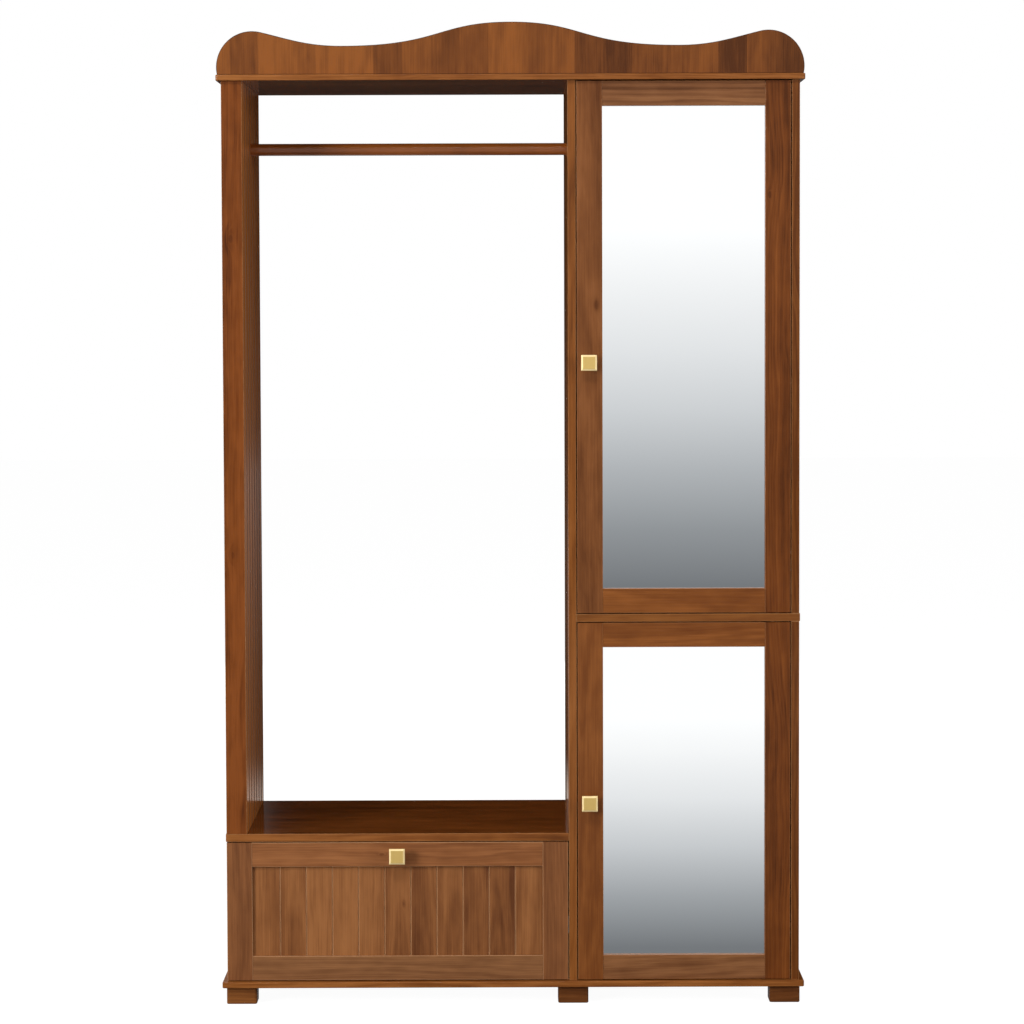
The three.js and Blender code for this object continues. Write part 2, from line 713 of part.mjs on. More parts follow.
const bottomYs = [boxFront, backInner + drawerGrooveDepth - hairline];
addPiece(drawer, "drawer_bottom", block(bottomXs, bottomYs, bottomZs), hardboard);

// Runners: a lipped channel on the carcass holds the brims of a hat-shaped slide on the drawer's side.
// Both sections are drawn with X from the carcass towards the drawer and Z about the runner's middle.
function runnerChannelSection() {
  const half = runnerHeight / 2;
  const inner = half - runnerSheet;
  const lipEnd = half - runnerLip;
  const lipFar = runnerLipFromWeb + runnerSheet;
  return outline([
    [hairline, -half],
    [lipFar, -half],
    [lipFar, -lipEnd],
    [runnerLipFromWeb, -lipEnd],
    [runnerLipFromWeb, -inner],
    [runnerSheet, -inner],
    [runnerSheet, inner],
    [runnerLipFromWeb, inner],
    [runnerLipFromWeb, lipEnd],
    [lipFar, lipEnd],
    [lipFar, half],
    [hairline, half],
  ]);
}

function runnerSlideSection() {
  const brim = runnerHeight / 2 - runnerSheet - slideClearance;
  const hat = slideHatHeight / 2;
  const crownX = runnerThickness - hairline;
  const brimFar = slideBrimFromWeb + runnerSheet;
  return outline([
    [slideBrimFromWeb, -brim],
    [brimFar, -brim],
    [brimFar, -hat],
    [crownX, -hat],
    [crownX, hat],
    [brimFar, hat],
    [brimFar, brim],
    [slideBrimFromWeb, brim],
    [slideBrimFromWeb, hat - runnerSheet],
    [crownX - runnerSheet, hat - runnerSheet],
    [crownX - runnerSheet, runnerSheet - hat],
    [slideBrimFromWeb, runnerSheet - hat],
  ]);
}

const runnerMiddle = boxFloor + drawerSideHeight / 2;
const channel = extrudeBack(runnerChannelSection(), runnerLength - hairline);
const slide = extrudeBack(runnerSlideSection(), runnerLength - hairline);
const leftRunner = [boardThickness, boxFront, runnerMiddle];
const rightRunner = [drawerFrontWidth + frontGap, boxFront, runnerMiddle];
const onCarcass = ([x, y, z]) => [leftX + x, frontY + y, drawerFrontZ + z];
const mirroredAcross = (geometry) => toGeometry(toSolid(geometry).mirror([1, 0, 0]));
addPiece(wardrobe, "runner_channel_left", channel, plainSteel, onCarcass(leftRunner));
addPiece(wardrobe, "runner_channel_right", mirroredAcross(channel), plainSteel, onCarcass(rightRunner));
addPiece(drawer, "runner_slide_left", slide, plainSteel, leftRunner);
addPiece(drawer, "runner_slide_right", mirroredAcross(slide), plainSteel, rightRunner);

export default wardrobe;
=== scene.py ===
import math

import bmesh
import bpy
from mathutils import Matrix, Vector


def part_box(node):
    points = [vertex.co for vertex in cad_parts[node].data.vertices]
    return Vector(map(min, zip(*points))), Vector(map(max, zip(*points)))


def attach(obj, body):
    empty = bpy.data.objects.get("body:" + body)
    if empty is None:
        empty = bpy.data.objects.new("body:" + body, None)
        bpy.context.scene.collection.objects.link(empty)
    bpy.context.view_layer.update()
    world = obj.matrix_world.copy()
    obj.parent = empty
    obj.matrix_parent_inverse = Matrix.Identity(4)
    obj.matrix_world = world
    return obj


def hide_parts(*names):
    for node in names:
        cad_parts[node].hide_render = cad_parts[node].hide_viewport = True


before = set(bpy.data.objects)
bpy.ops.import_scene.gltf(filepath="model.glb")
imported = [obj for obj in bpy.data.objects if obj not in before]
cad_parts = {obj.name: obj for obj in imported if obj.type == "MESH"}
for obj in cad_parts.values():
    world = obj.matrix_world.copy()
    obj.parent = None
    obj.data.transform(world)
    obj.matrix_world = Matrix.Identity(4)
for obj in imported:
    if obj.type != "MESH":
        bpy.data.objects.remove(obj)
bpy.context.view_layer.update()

# Base board and top board: thin walnut-faced boards that overhang the carcass at the front and
# sides. Their front corners are routed round, every edge is eased, and the veneer runs across.

EDGE_BOARD_CORNER = 0.005
EDGE_BOARD_EASING = 0.0015

# Walnut's figure: rings to the metre, then how many of each mark to the metre along the grain and
# across it. Depth counts a little less than width in what is across.
RINGS = 150.0
WANDER = (2.2, 7.0)
DRIFT = (1.5, 9.0)
MOTTLE = (16.0, 42.0)
STREAKS = (7.0, 420.0)
PORES = (45.0, 2400.0)
ACROSS_SLANT = 0.97
RELIEF_OF_FULL_PORES = 0.02


def block(name, low, high):
    """Adds a block between two corners, with its place in its mesh."""
    low, high = Vector(low), Vector(high)
    bpy.ops.object.select_all(action="DESELECT")
    bpy.ops.mesh.primitive_cube_add(size=1, location=(low + high) / 2)
    piece = bpy.context.object
    piece.name = name
    piece.scale = high - low
    bpy.ops.object.transform_apply(location=True, rotation=True, scale=True)
    return piece


def take(piece):
    """Makes a piece the only one selected."""
    bpy.ops.object.select_all(action="DESELECT")
    piece.select_set(True)
    bpy.context.view_layer.objects.active = piece


def open_piece(piece):
    """Takes a piece and opens it for editing."""
    take(piece)
    bpy.ops.object.mode_set(mode="EDIT")


def pick(piece, kind, test=lambda corner: True, along=None):
    """Selects each VERT, EDGE or FACE of an open piece whose corners all pass the test. Edges can
    be narrowed to those that run along X, Y or Z (0, 1 or 2)."""
    bpy.ops.mesh.select_mode(type=kind)
    bpy.ops.mesh.select_all(action="DESELECT")
    shape = bmesh.from_edit_mesh(piece.data)
    for part in {"VERT": shape.verts, "EDGE": shape.edges, "FACE": shape.faces}[kind]:
        corners = [part.co] if kind == "VERT" else [v.co for v in part.verts]
        wanted = all(test(corner) for corner in corners)
        if wanted and along is not None:
            wanted = abs((corners[1] - corners[0]).normalized()[along]) > 0.9
        if wanted:
            part.select_set(True)
    bmesh.update_edit_mesh(piece.data)


def ease(offset, segments=2, material=-1):
    """Rounds the picked edges, in the piece's second material if that is 1."""
    bpy.ops.mesh.bevel(offset=offset, segments=segments, affect="EDGES", material=material)


def smooth(piece, angle=35):
    """Smooths the faces that meet at less than the angle, and keeps the broad ones flat."""
    bpy.ops.object.shade_smooth_by_angle(angle=math.radians(angle))
    flattening = piece.modifiers.new("flattening", "WEIGHTED_NORMAL")
    flattening.keep_sharp = True
    bpy.ops.object.modifier_apply(modifier="flattening")


def close_piece(piece, angle=35):
    """Ends the editing of a piece and smooths it."""
    bpy.ops.object.mode_set(mode="OBJECT")
    smooth(piece, angle)


def near(a, b, reach=1e-5):
    return abs(a - b) < reach


def paint(piece, *materials):
    """Gives a piece its materials, the first of them on every face."""
    piece.data.materials.clear()
    for material in materials:
        piece.data.materials.append(material)


def fit(piece, body, slot, *nodes):
    """Gives a finished piece the body that it moves with, and hides the CAD nodes that it stands for."""
    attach(piece, body)
    if nodes:
        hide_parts(*nodes)


def shade(red, green, blue):
    """A colour as a screen shows it, 0 to 255, turned into the numbers that a shader takes."""
    scaled = [c / 255 for c in (red, green, blue)]
    return (*[c / 12.92 if c <= 0.04045 else ((c + 0.055) / 1.055) ** 2.4 for c in scaled], 1.0)


class Signal:
    """One output of a shader node, so that sums and products of signals read as plain maths."""

    def __init__(self, tree, socket=None):
        self.tree = tree
        self.socket = socket

    def node(self, kind, sockets, output=0, stops=(), **settings):
        """Adds a node with its settings, then fills its sockets with values or other signals."""
        made = self.tree.nodes.new("ShaderNode" + kind)
        for name, value in settings.items():
            setattr(made, name, value)
        for extra in stops[2:]:
            made.color_ramp.elements.new(extra[0])
        for element, (position, color) in zip(made.color_ramp.elements if stops else (), stops):
            element.position = position
            element.color = color
        for name, value in sockets.items():
            if isinstance(value, Signal):
                self.tree.links.new(value.socket, made.inputs[name])
            else:
                made.inputs[name].default_value = value
        return Signal(self.tree, made.outputs[output] if made.outputs else None)

    def maths(self, operation, *values):
        return self.node("Math", dict(enumerate(values)), operation=operation)

    def mix(self, factor, first, second):
        """Mixes two colours."""
        sockets = {0: factor, 6: first, 7: second}
        return self.node("Mix", sockets, output=2, data_type="RGBA")

    def vector(self, x, y, z):
        return self.node("CombineXYZ", {"X": x, "Y": y, "Z": z})

    def axis(self, name):
        """One coordinate of a place or of a direction."""
        return self.node("SeparateXYZ", {"Vector": self}, output=name)

    def scaled(self, *scale):
        """A place multiplied along each axis, which draws out what is laid over it."""
        return self.node("Mapping", {"Vector": self, "Scale": scale})

    def noise(self, place, detail=2.0, roughness=0.5):
        """Cloudy noise from 0 to 1, in clouds about one unit wide, over a place."""
        sockets = {"Scale": 1.0, "Detail": detail, "Roughness": roughness}
        return self.node("TexNoise", {"Vector": place, **sockets}, noise_dimensions="3D")

    def band(self, low, high):
        """0 below one value and 1 above another, with a smooth step between."""
        sockets = {"Value": self, "From Min": low, "From Max": high}
        return self.node("MapRange", sockets, interpolation_type="SMOOTHSTEP")

    def __add__(self, other):
        return self.maths("ADD", self, other)

    def __radd__(self, other):
        return self.maths("ADD", other, self)

    def __sub__(self, other):
        return self.maths("SUBTRACT", self, other)

    def __rsub__(self, other):
        return self.maths("SUBTRACT", other, self)

    def __mul__(self, other):
        return self.maths("MULTIPLY", self, other)

    def __rmul__(self, other):
        return self.maths("MULTIPLY", other, self)

    def __truediv__(self, other):
        return self.maths("DIVIDE", self, other)

    def __rtruediv__(self, other):
        return self.maths("DIVIDE", other, self)


def new_finish(name, **values):
    """Starts a material. Returns it, its shader, a first signal and the place on the piece."""
    material = bpy.data.materials.new(name)
    material.use_nodes = True
    tree = material.node_tree
    shader = tree.nodes["Principled BSDF"]
    for socket, value in values.items():
        shader.inputs[socket.replace("_", " ")].default_value = value
    start = Signal(tree)
    return material, shader, start, start.node("TexCoord", {}, output="Object")


def feed(shader, signal, socket):
    signal.tree.links.new(signal.socket, shader.inputs[socket])


def walnut(
    name, along, pale, brown, dark, stave=0.3, joint=0.13, seed=0.0, gloss=0.26, contrast=0.8,
    lacquer=0.0, painted_falloff=0.0, painted_joint_shade=0.0, relief=0.06, figure=0.6, variety=0.34, knots=(),
):
    """Walnut veneer. The growth rings are cut at a slant in each stave, with fine streaks, open pores, a
    soft mottled figure and a slow drift of tone over them. Staves are counted across the grain from a
    joint, and their variety is how much they differ. The painted falloff is painted shade: it darkens the
    wood to the right, as light falling off away from the lamp on the left. The painted joint shade
    darkens a band beside each joint as painted shade of its groove, and that band is also duller. A knot
    is (x, z, radius): it swells the rings and is dark."""
    material, shader, start, place = new_finish(
        name, Specular_IOR_Level=0.1, Coat_Weight=lacquer, Coat_Roughness=0.07
    )
    pale, brown, dark = (shade(*color) for color in (pale, brown, dark))
    places = {axis: place.axis(axis) for axis in "XYZ"}
    run = places[along]
    wide_place, deep_place = (places[axis] for axis in "XYZ" if axis != along)
    across = wide_place + deep_place * ACROSS_SLANT - joint

    def marks(scale, shift=0.0, detail=2.0, roughness=0.5):
        """Noise drawn out along the grain."""
        stretched = start.vector(run * scale[0], across * scale[1], seed + shift)
        return start.noise(stretched, detail, roughness)

    stave_number = start.maths("FLOOR", across / stave)
    chance = start.node("TexWhiteNoise", {"W": stave_number + seed}, noise_dimensions="1D")
    side = across - (stave_number + 0.5) * stave
    heart = chance * 0.09 - 0.045
    swell = marks(WANDER, detail=2.5) * 0.075 - 0.0375
    darkening = 0.0
    for x, z, radius in knots:
        wide, tall = (2.2, 1.0) if along == "X" else (1.0, 2.2)
        knot_x = (places["X"] - x) / (wide * radius)
        knot_z = (places["Z"] - z) / (tall * radius)
        spread = (knot_x * knot_x + knot_z * knot_z) * -1.0
        knot = start.maths("POWER", 2.718, spread)
        swell = swell + knot * 0.02
        darkening = knot * 0.34 + darkening
    off_heart = side - heart + swell
    depth = run * 0.035 + chance * 0.04 + 0.01
    ring_radius = start.maths("SQRT", off_heart * off_heart + depth * depth)
    rings = start.noise(start.vector(ring_radius * RINGS, chance * 9.0, seed), detail=3.0)
    streaks = marks(STREAKS, detail=3.0, roughness=0.65)
    drift = marks(DRIFT, shift=5.0)
    mottle = marks(MOTTLE, shift=2.0)
    tone = (rings - 0.5) * 1.05 + (streaks - 0.5) * 0.8 + (drift - 0.5) * 0.9
    tone = tone + (mottle - 0.5) * figure + (chance - 0.5) * variety
    # Painted shade: the tone darkens towards +X, as light falling off away from the lamp on the left.
    tone = tone * contrast + 0.5 - darkening - places["X"] * painted_falloff
    color = start.node("ValToRGB", {"Fac": tone}, stops=((0.12, dark), (0.5, brown), (0.88, pale)))
    open_pores = marks(PORES, detail=1.0).band(0.36, 0.46)
    pore_depth = min(1.0, relief / RELIEF_OF_FULL_PORES)
    color = start.mix(open_pores * (-0.16 * pore_depth) + 0.16 * pore_depth, color, dark)
    dulling = open_pores * (-0.1 * pore_depth) + (gloss + 0.08)
    # Painted shade: a band beside each joint is darkened to stand for the groove's shade, and is made
    # duller.
    if painted_joint_shade:
        edges = start.maths("ABSOLUTE", side / stave).band(0.26, 0.43) * painted_joint_shade
        color = start.mix(edges, color, dark)
        dulling = dulling + edges * 0.4
    feed(shader, color, "Base Color")
    feed(shader, dulling, "Roughness")
    height = open_pores * 0.6 + streaks * 0.4
    grain = start.node("Bump", {"Strength": relief, "Distance": 0.0004, "Height": height})
    feed(shader, grain, "Normal")
    return material


CARCASS_PALE = (152, 94, 46)
CARCASS_BROWN = (126, 73, 32)
CARCASS_DARK = (92, 49, 19)

level_walnut = walnut(
    "level_walnut", "X", CARCASS_PALE, CARCASS_BROWN, CARCASS_DARK, seed=1.3, gloss=0.14,
    contrast=1.0, painted_falloff=0.25, relief=0.02,
)
# Arrises take this paler walnut: a painted highlight along the eased edges.
arris_walnut = walnut("arris_walnut", "X", (172, 122, 78), (158, 108, 66), (132, 86, 50), seed=0.4)


def edge_board(name, node):
    low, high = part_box(node)
    piece = block(name, low, high)
    paint(piece, level_walnut)
    open_piece(piece)
    pick(piece, "EDGE", lambda p: near(p.y, low.y), along=2)
    ease(EDGE_BOARD_CORNER, 6)
    for face_z in (low.z, high.z):
        pick(piece, "EDGE", lambda p: near(p.z, face_z))
        ease(EDGE_BOARD_EASING, 3)
    close_piece(piece)
    fit(piece, "carcass", "carcass_walnut", node)


edge_board("eased_base_board", "base_board")
edge_board("eased_top_board", "top_board")

# Crown: one 16 mm board sawn to a scalloped line, with a broad arch in the middle, a dip on each
# side and round ends. Its face veneer stands upright in staves, and its sawn edge is eased.

CROWN_END_RADIUS = 0.0725
CROWN_END_RISE = 0.015
CROWN_SHOULDER = math.radians(13.5)
CROWN_SHOULDER_HANDLE = 0.060
CROWN_DIP = Vector((0.340, 0.0575))
CROWN_PEAK = Vector((0.0, 0.105))
CROWN_DIP_HANDLE = 0.070
CROWN_DIP_TO_PEAK_HANDLE = 0.200
CROWN_PEAK_HANDLE = 0.148
CROWN_EASING = 0.0014
CURVE_STEPS = 40


def curve(a, b, c, d):
    """Points along a curve from a to d that leaves towards b and arrives from c."""
    points = []
    for step in range(1, CURVE_STEPS + 1):
        t = step / CURVE_STEPS
        u = 1 - t
        points.append(u**3 * a + 3 * u * u * t * b + 3 * u * t * t * c + t**3 * d)
    return points


crown_low, crown_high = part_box("crown_board")
end_centre = Vector((crown_high.x - CROWN_END_RADIUS, CROWN_END_RISE))
foot_angle = -math.asin(CROWN_END_RISE / CROWN_END_RADIUS)
last_angle = math.pi / 2 + CROWN_SHOULDER
right_line = []
for step in range(CURVE_STEPS + 1):
    angle = foot_angle + (last_angle - foot_angle) * step / CURVE_STEPS
    right_line.append(end_centre + CROWN_END_RADIUS * Vector((math.cos(angle), math.sin(angle))))
shoulder = right_line[-1]
slope = Vector((-math.cos(CROWN_SHOULDER), -math.sin(CROWN_SHOULDER)))
right_line += curve(
    shoulder,
    shoulder + CROWN_SHOULDER_HANDLE * slope,
    CROWN_DIP + Vector((CROWN_DIP_HANDLE, 0)),
    CROWN_DIP,
)
right_line += curve(
    CROWN_DIP,
    CROWN_DIP - Vector((CROWN_DIP_TO_PEAK_HANDLE, 0)),
    CROWN_PEAK + Vector((CROWN_PEAK_HANDLE, 0)),
    CROWN_PEAK,
)
crown_line = right_line + [Vector((-p.x, p.y)) for p in reversed(right_line[:-1])]

bpy.ops.object.select_all(action="DESELECT")
bpy.ops.mesh.primitive_circle_add(vertices=len(crown_line), radius=0.5, fill_type="NGON")
crown = bpy.context.object
crown.name = "scalloped_crown"
crown_walnut = walnut(
    "crown_walnut", "Z", (136, 79, 35), (110, 62, 28), (78, 42, 19), stave=0.058, seed=3.1,
    painted_falloff=0.38, variety=0.8,
)
sawn_walnut = walnut("sawn_walnut", "X", (96, 58, 32), (78, 45, 24), (56, 31, 16))
paint(crown, crown_walnut, sawn_walnut)
for vertex, point in zip(crown.data.vertices, crown_line):
    vertex.co = (point.x, crown_low.y, crown_low.z + point.y)
open_piece(crown)
bpy.ops.mesh.select_all(action="SELECT")
thickness = crown_high.y - crown_low.y
bpy.ops.mesh.extrude_region_move(TRANSFORM_OT_translate={"value": (0, thickness, 0)})
bpy.ops.mesh.select_all(action="SELECT")
bpy.ops.mesh.normals_make_consistent(inside=False)
for face_y in (crown_low.y, crown_high.y):
    pick(crown, "EDGE", lambda p: near(p.y, face_y))
    ease(CROWN_EASING, 2, material=1)
close_piece(crown, 30)
fit(crown, "carcass", "front_walnut", "crown_board")

# Feet: six walnut blocks screwed up into the base board, at its two ends and under the divider.
# Their corners are rounded and the edges that meet the floor are eased.

FOOT_CORNER = 0.005
FOOT_EASING = 0.002


def copy_piece(piece, name, offset, turn=Matrix()):
    """Adds a copy of a piece, with a mesh of its own, turned and then moved by an offset."""
    copied = piece.copy()
    copied.data = piece.data.copy()
    copied.name = name
    bpy.context.collection.objects.link(copied)
    copied.data.transform(Matrix.Translation(offset) @ turn)
    return copied


first_low, first_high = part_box("foot_front_left")
foot = block("block_foot_front_left", first_low, first_high)
open_piece(foot)
pick(foot, "EDGE", along=2)
ease(FOOT_CORNER, 5)
for level in (first_low.z, first_high.z):
    pick(foot, "EDGE", lambda p: near(p.z, level))
    ease(FOOT_EASING, 3)
close_piece(foot)
foot_walnut = walnut(
    "foot_walnut", "X", (132, 80, 39), (103, 59, 28), (80, 43, 18), seed=7.7, painted_falloff=0.3,
)
paint(foot, foot_walnut)
for row in ("front", "rear"):
    for column in ("left", "middle", "right"):
        node = f"foot_{row}_{column}"
        if node != "foot_front_left":
            copied = copy_piece(foot, "block_" + node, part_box(node)[0] - first_low)
            fit(copied, "carcass", "carcass_walnut", node)
fit(foot, "carcass", "carcass_walnut", "foot_front_left")

# Carcass boards: 16 mm walnut-faced board with edge bands of the same walnut, dowelled and held
# by hidden cams. Each has a fine arris, and the divider has a blind hole for the hanging rod.

BOARD_ARRIS = 0.0008
ROD_HOLE_DEPTH = 0.009
ROD_HOLE_CLEARANCE = 0.0003
BORE_PAST = 0.01  # how far a round cutter stands out of the face that it enters

upright_walnut = walnut(
    "upright_walnut", "Z", CARCASS_PALE, (130, 76, 33), CARCASS_DARK, seed=2.2, gloss=0.1,
    painted_falloff=0.2, relief=0.01, figure=0.4,
)
middle_walnut = walnut(
    "middle_walnut", "X", (148, 94, 46), (122, 72, 33), (90, 49, 21), seed=2.9, painted_falloff=0.25,
)
# The bay shelf's top takes a darker walnut than the rest: painted shade of the bay over it.
shelf_walnut = walnut(
    "shelf_walnut", "X", (124, 67, 25), (92, 47, 13), (50, 23, 6), seed=4.6, gloss=0.08,
    relief=0.02,
)


def eased_board(name, node, *materials, body="carcass", slot="carcass_walnut", arris=BOARD_ARRIS):
    """A plain board. A second material shows on its arrises."""
    piece = block(name, *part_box(node))
    paint(piece, *materials)
    open_piece(piece)
    pick(piece, "EDGE")
    ease(arris, material=len(materials) - 1)
    close_piece(piece)
    fit(piece, body, slot, node)
    return piece


def carve(piece, cutter):
    """Cuts one shape out of another and deletes the cutter."""
    take(piece)
    bite = piece.modifiers.new("bite", "BOOLEAN")
    bite.operation = "DIFFERENCE"
    bite.solver = "EXACT"
    bite.object = cutter
    bpy.ops.object.modifier_apply(modifier="bite")
    bpy.data.objects.remove(cutter, do_unlink=True)


def round_bar(name, radius, start, end, sides=48):
    """Adds a round bar between two points that lie along X or Y."""
    start, end = Vector(start), Vector(end)
    bpy.ops.object.select_all(action="DESELECT")
    bpy.ops.mesh.primitive_cylinder_add(
        vertices=sides, radius=radius, depth=(end - start).length, location=(start + end) / 2
    )
    piece = bpy.context.object
    piece.name = name
    piece.rotation_euler = (end - start).to_track_quat("Z", "Y").to_euler()
    bpy.ops.object.transform_apply(location=True, rotation=True, scale=True)
    return piece


for side_board in ("divider_panel", "right_side_lower", "right_side_upper", "left_side_lower"):
    eased_board("veneered_" + side_board, side_board, upright_walnut, arris_walnut)
for level_board in ("upper_cupboard_shelf", "lower_cupboard_shelf"):
    eased_board("veneered_" + level_board, level_board, level_walnut, arris_walnut)
eased_board("veneered_middle_board", "middle_board", middle_walnut, arris_walnut)
bay_shelf = eased_board("veneered_bay_shelf", "bay_shelf", shelf_walnut, arris_walnut)
bay_shelf.data.materials.append(level_walnut)
shelf_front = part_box("bay_shelf")[0].y
open_piece(bay_shelf)
pick(bay_shelf, "FACE", lambda p: near(p.y, shelf_front))
bay_shelf.active_material_index = 2
bpy.ops.object.material_slot_assign()
bpy.ops.object.mode_set(mode="OBJECT")

rod_low, rod_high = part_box("hanging_rod")
rod_middle = (rod_low + rod_high) / 2


def bore_for_rod(board, face_x, inwards):
    """Sinks the blind hole for an end of the rod into a board's face."""
    ends = sorted((face_x - inwards * BORE_PAST, face_x + inwards * ROD_HOLE_DEPTH))
    radius = (rod_high.z - rod_low.z) / 2 + ROD_HOLE_CLEARANCE
    left, right = ((end, rod_middle.y, rod_middle.z) for end in ends)
    carve(board, round_bar("rod_hole", radius, left, right))


bore_for_rod(bpy.data.objects["veneered_divider_panel"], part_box("divider_panel")[0].x, 1)

# Left wall: a plain outer board and a grooved inner one, 42 mm thick together, with a facing strip
# on the front and another at the back. A tongue on each strip holds the two boards apart.

GROOVE_WIDTH = 0.003
GROOVE_DEPTH = 0.002
PLANK_PITCH = 0.0535
STRIP_THICKNESS = 0.004
TONGUE_INSET = 0.0162
TONGUE_LENGTH = 0.04

post_walnut = walnut(
    "post_walnut", "Z", (128, 69, 28), (107, 55, 19), (74, 35, 12), seed=6.1, contrast=1.2,
    knots=((-0.571, 1.566, 0.010), (-0.569, 0.922, 0.008)),
)


def groove(piece, axis, centres, face, inwards):
    """Cuts V grooves up a board: three cuts a groove, and the middle line is pushed in. The
    grooves take the piece's second material."""
    other = 1 - axis
    normal = Vector((1, 0, 0)) if axis == 0 else Vector((0, 1, 0))
    push = Vector((0, 0, 0))
    push[other] = inwards * GROOVE_DEPTH
    open_piece(piece)
    for centre in centres:
        for cut in (centre - GROOVE_WIDTH / 2, centre, centre + GROOVE_WIDTH / 2):
            bpy.ops.mesh.select_all(action="SELECT")
            bpy.ops.mesh.bisect(plane_co=normal * cut, plane_no=normal)
        pick(piece, "VERT", lambda p: near(p[axis], centre) and near(p[other], face))
        bpy.ops.transform.translate(value=push)
        wide, deep = 0.6 * GROOVE_WIDTH, 1.1 * GROOVE_DEPTH
        pick(piece, "FACE", lambda p: near(p[axis], centre, wide) and near(p[other], face, deep))
        piece.active_material_index = 1
        bpy.ops.object.material_slot_assign()
    close_piece(piece)


def plank_lines(low, high):
    """Where the grooves fall between two ends, an even pitch out from the middle."""
    planks = round((high - low) / PLANK_PITCH)
    middle = (low + high) / 2
    return [middle + (i + 1 - planks / 2) * PLANK_PITCH for i in range(planks - 1)]


eased_board("veneered_wall_board", "left_wall_outer_board", upright_walnut, arris_walnut)

wall_low, wall_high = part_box("left_wall_grooved_board")
wall_lines = plank_lines(wall_low.y, wall_high.y)
grooved_wall = block("grooved_wall_board", wall_low, wall_high)
# The planks are paler than the other walnut, and a band beside each joint is painted dark as painted
# shade, so that the grooves show as stripes.
plank_walnut = walnut(
    "plank_walnut", "Z", (196, 127, 68), (176, 109, 56), (98, 55, 26),
    stave=PLANK_PITCH * ACROSS_SLANT, joint=wall_high.x + wall_lines[0] * ACROSS_SLANT, seed=5.4,
    gloss=0.14, contrast=0.2, painted_joint_shade=0.85, relief=0.0, figure=0.0,
)
# The wall's groove faces take this dark walnut: painted shade in the grooves.
wall_groove_walnut = walnut(
    "wall_groove_walnut", "Z", (84, 46, 22), (64, 33, 14), (46, 23, 10), seed=5.9,
)
paint(grooved_wall, plank_walnut, wall_groove_walnut)
groove(grooved_wall, 1, wall_lines, wall_high.x, -1)
bore_for_rod(grooved_wall, wall_high.x, -1)
fit(grooved_wall, "carcass", "carcass_walnut", "left_wall_grooved_board")

for strip_node, facing, inwards in (
    ("left_wall_front_post", "front_facing_strip", 1),
    ("left_wall_rear_post", "rear_facing_strip", -1),
):
    low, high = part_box(strip_node)
    face_y = low.y if inwards > 0 else high.y
    inner_y = face_y + inwards * STRIP_THICKNESS
    strip = block(
        facing, (low.x, min(face_y, inner_y), low.z), (high.x, max(face_y, inner_y), high.z)
    )
    tongue_sides = (low.x + TONGUE_INSET, high.x - TONGUE_INSET)
    paint(strip, post_walnut, arris_walnut)
    open_piece(strip)
    for tongue_side in tongue_sides:
        bpy.ops.mesh.select_all(action="SELECT")
        bpy.ops.mesh.bisect(plane_co=(tongue_side, 0, 0), plane_no=(1, 0, 0))
    pick(
        strip,
        "FACE",
        lambda p: near(p.y, inner_y) and tongue_sides[0] - 1e-5 < p.x < tongue_sides[1] + 1e-5,
    )
    tongue = (0, inwards * TONGUE_LENGTH, 0)
    bpy.ops.mesh.extrude_region_move(TRANSFORM_OT_translate={"value": tongue})
    middle_x = (low.x + high.x) / 2
    far = 0.4 * (high.x - low.x)
    pick(strip, "EDGE", lambda p: near(p.y, face_y) and abs(p.x - middle_x) > far, along=2)
    ease(BOARD_ARRIS, material=1)
    close_piece(strip)
    fit(strip, "carcass", "carcass_walnut", strip_node)

# Hanging rod: a 25 mm round wooden rod wrapped in walnut film and lacquered, so that it shines.
# Its ends are chamfered and sit in blind holes in the two walls of the bay.

ROD_CHAMFER = 0.001

rod = round_bar(
    "lacquered_rod",
    (rod_high.z - rod_low.z) / 2,
    (rod_low.x, rod_middle.y, rod_middle.z),
    (rod_high.x, rod_middle.y, rod_middle.z),
    sides=72,
)
open_piece(rod)
for end_x in (rod_low.x, rod_high.x):
    pick(rod, "EDGE", lambda p: near(p.x, end_x))
    ease(ROD_CHAMFER)
close_piece(rod)
rod_walnut = walnut(
    "rod_walnut", "X", (174, 100, 44), (148, 82, 32), (104, 52, 18), seed=8.2, contrast=0.5,
    lacquer=0.6, relief=0.0,
)
paint(rod, rod_walnut)
fit(rod, "carcass", "rod_walnut", "hanging_rod")

# Backs: thin brown hardboard laid over the rear edges of the cupboards and of the drawer bay, and
# pinned round its edge with small round-headed nails. The hanging bay has none.

NAIL_HEAD = 0.0004
NAIL_RADIUS = 0.003
NAIL_SPACING = 0.11
NAIL_INSET = 0.009
HARDBOARD_ARRIS = 0.0004


def hardboard_finish(name, brown, fleck):
    """Pressed fibre board: short pale and dark fibres on a dull brown ground."""
    material, shader, start, place = new_finish(name)
    fibres = start.noise(place.scaled(1400.0, 1400.0, 900.0), detail=3.0, roughness=0.7)
    clouds = start.noise(place.scaled(14.0, 14.0, 14.0))
    mixed = fibres.band(0.35, 0.65) * 0.6 + clouds * 0.4
    feed(shader, start.mix(mixed, brown, fleck), "Base Color")
    feed(shader, fibres * 0.2 + 0.55, "Roughness")
    feed(shader, start.node("Bump", {"Strength": 0.2, "Distance": 0.0003, "Height": fibres}), "Normal")
    return material


def steel_finish(name, grey, dull=0.3):
    """Bright plated steel with the faint lines of its rolling."""
    material, shader, start, place = new_finish(name, Metallic=1.0)
    lines = start.noise(place.scaled(300.0, 2500.0, 900.0))
    feed(shader, start.mix(lines, grey, shade(236, 238, 240)), "Base Color")
    feed(shader, lines * 0.14 + (dull - 0.07), "Roughness")
    return material


back_hardboard = hardboard_finish("back_hardboard", shade(96, 62, 36), shade(134, 92, 58))
nail_steel = steel_finish("nail_steel", shade(150, 152, 154))


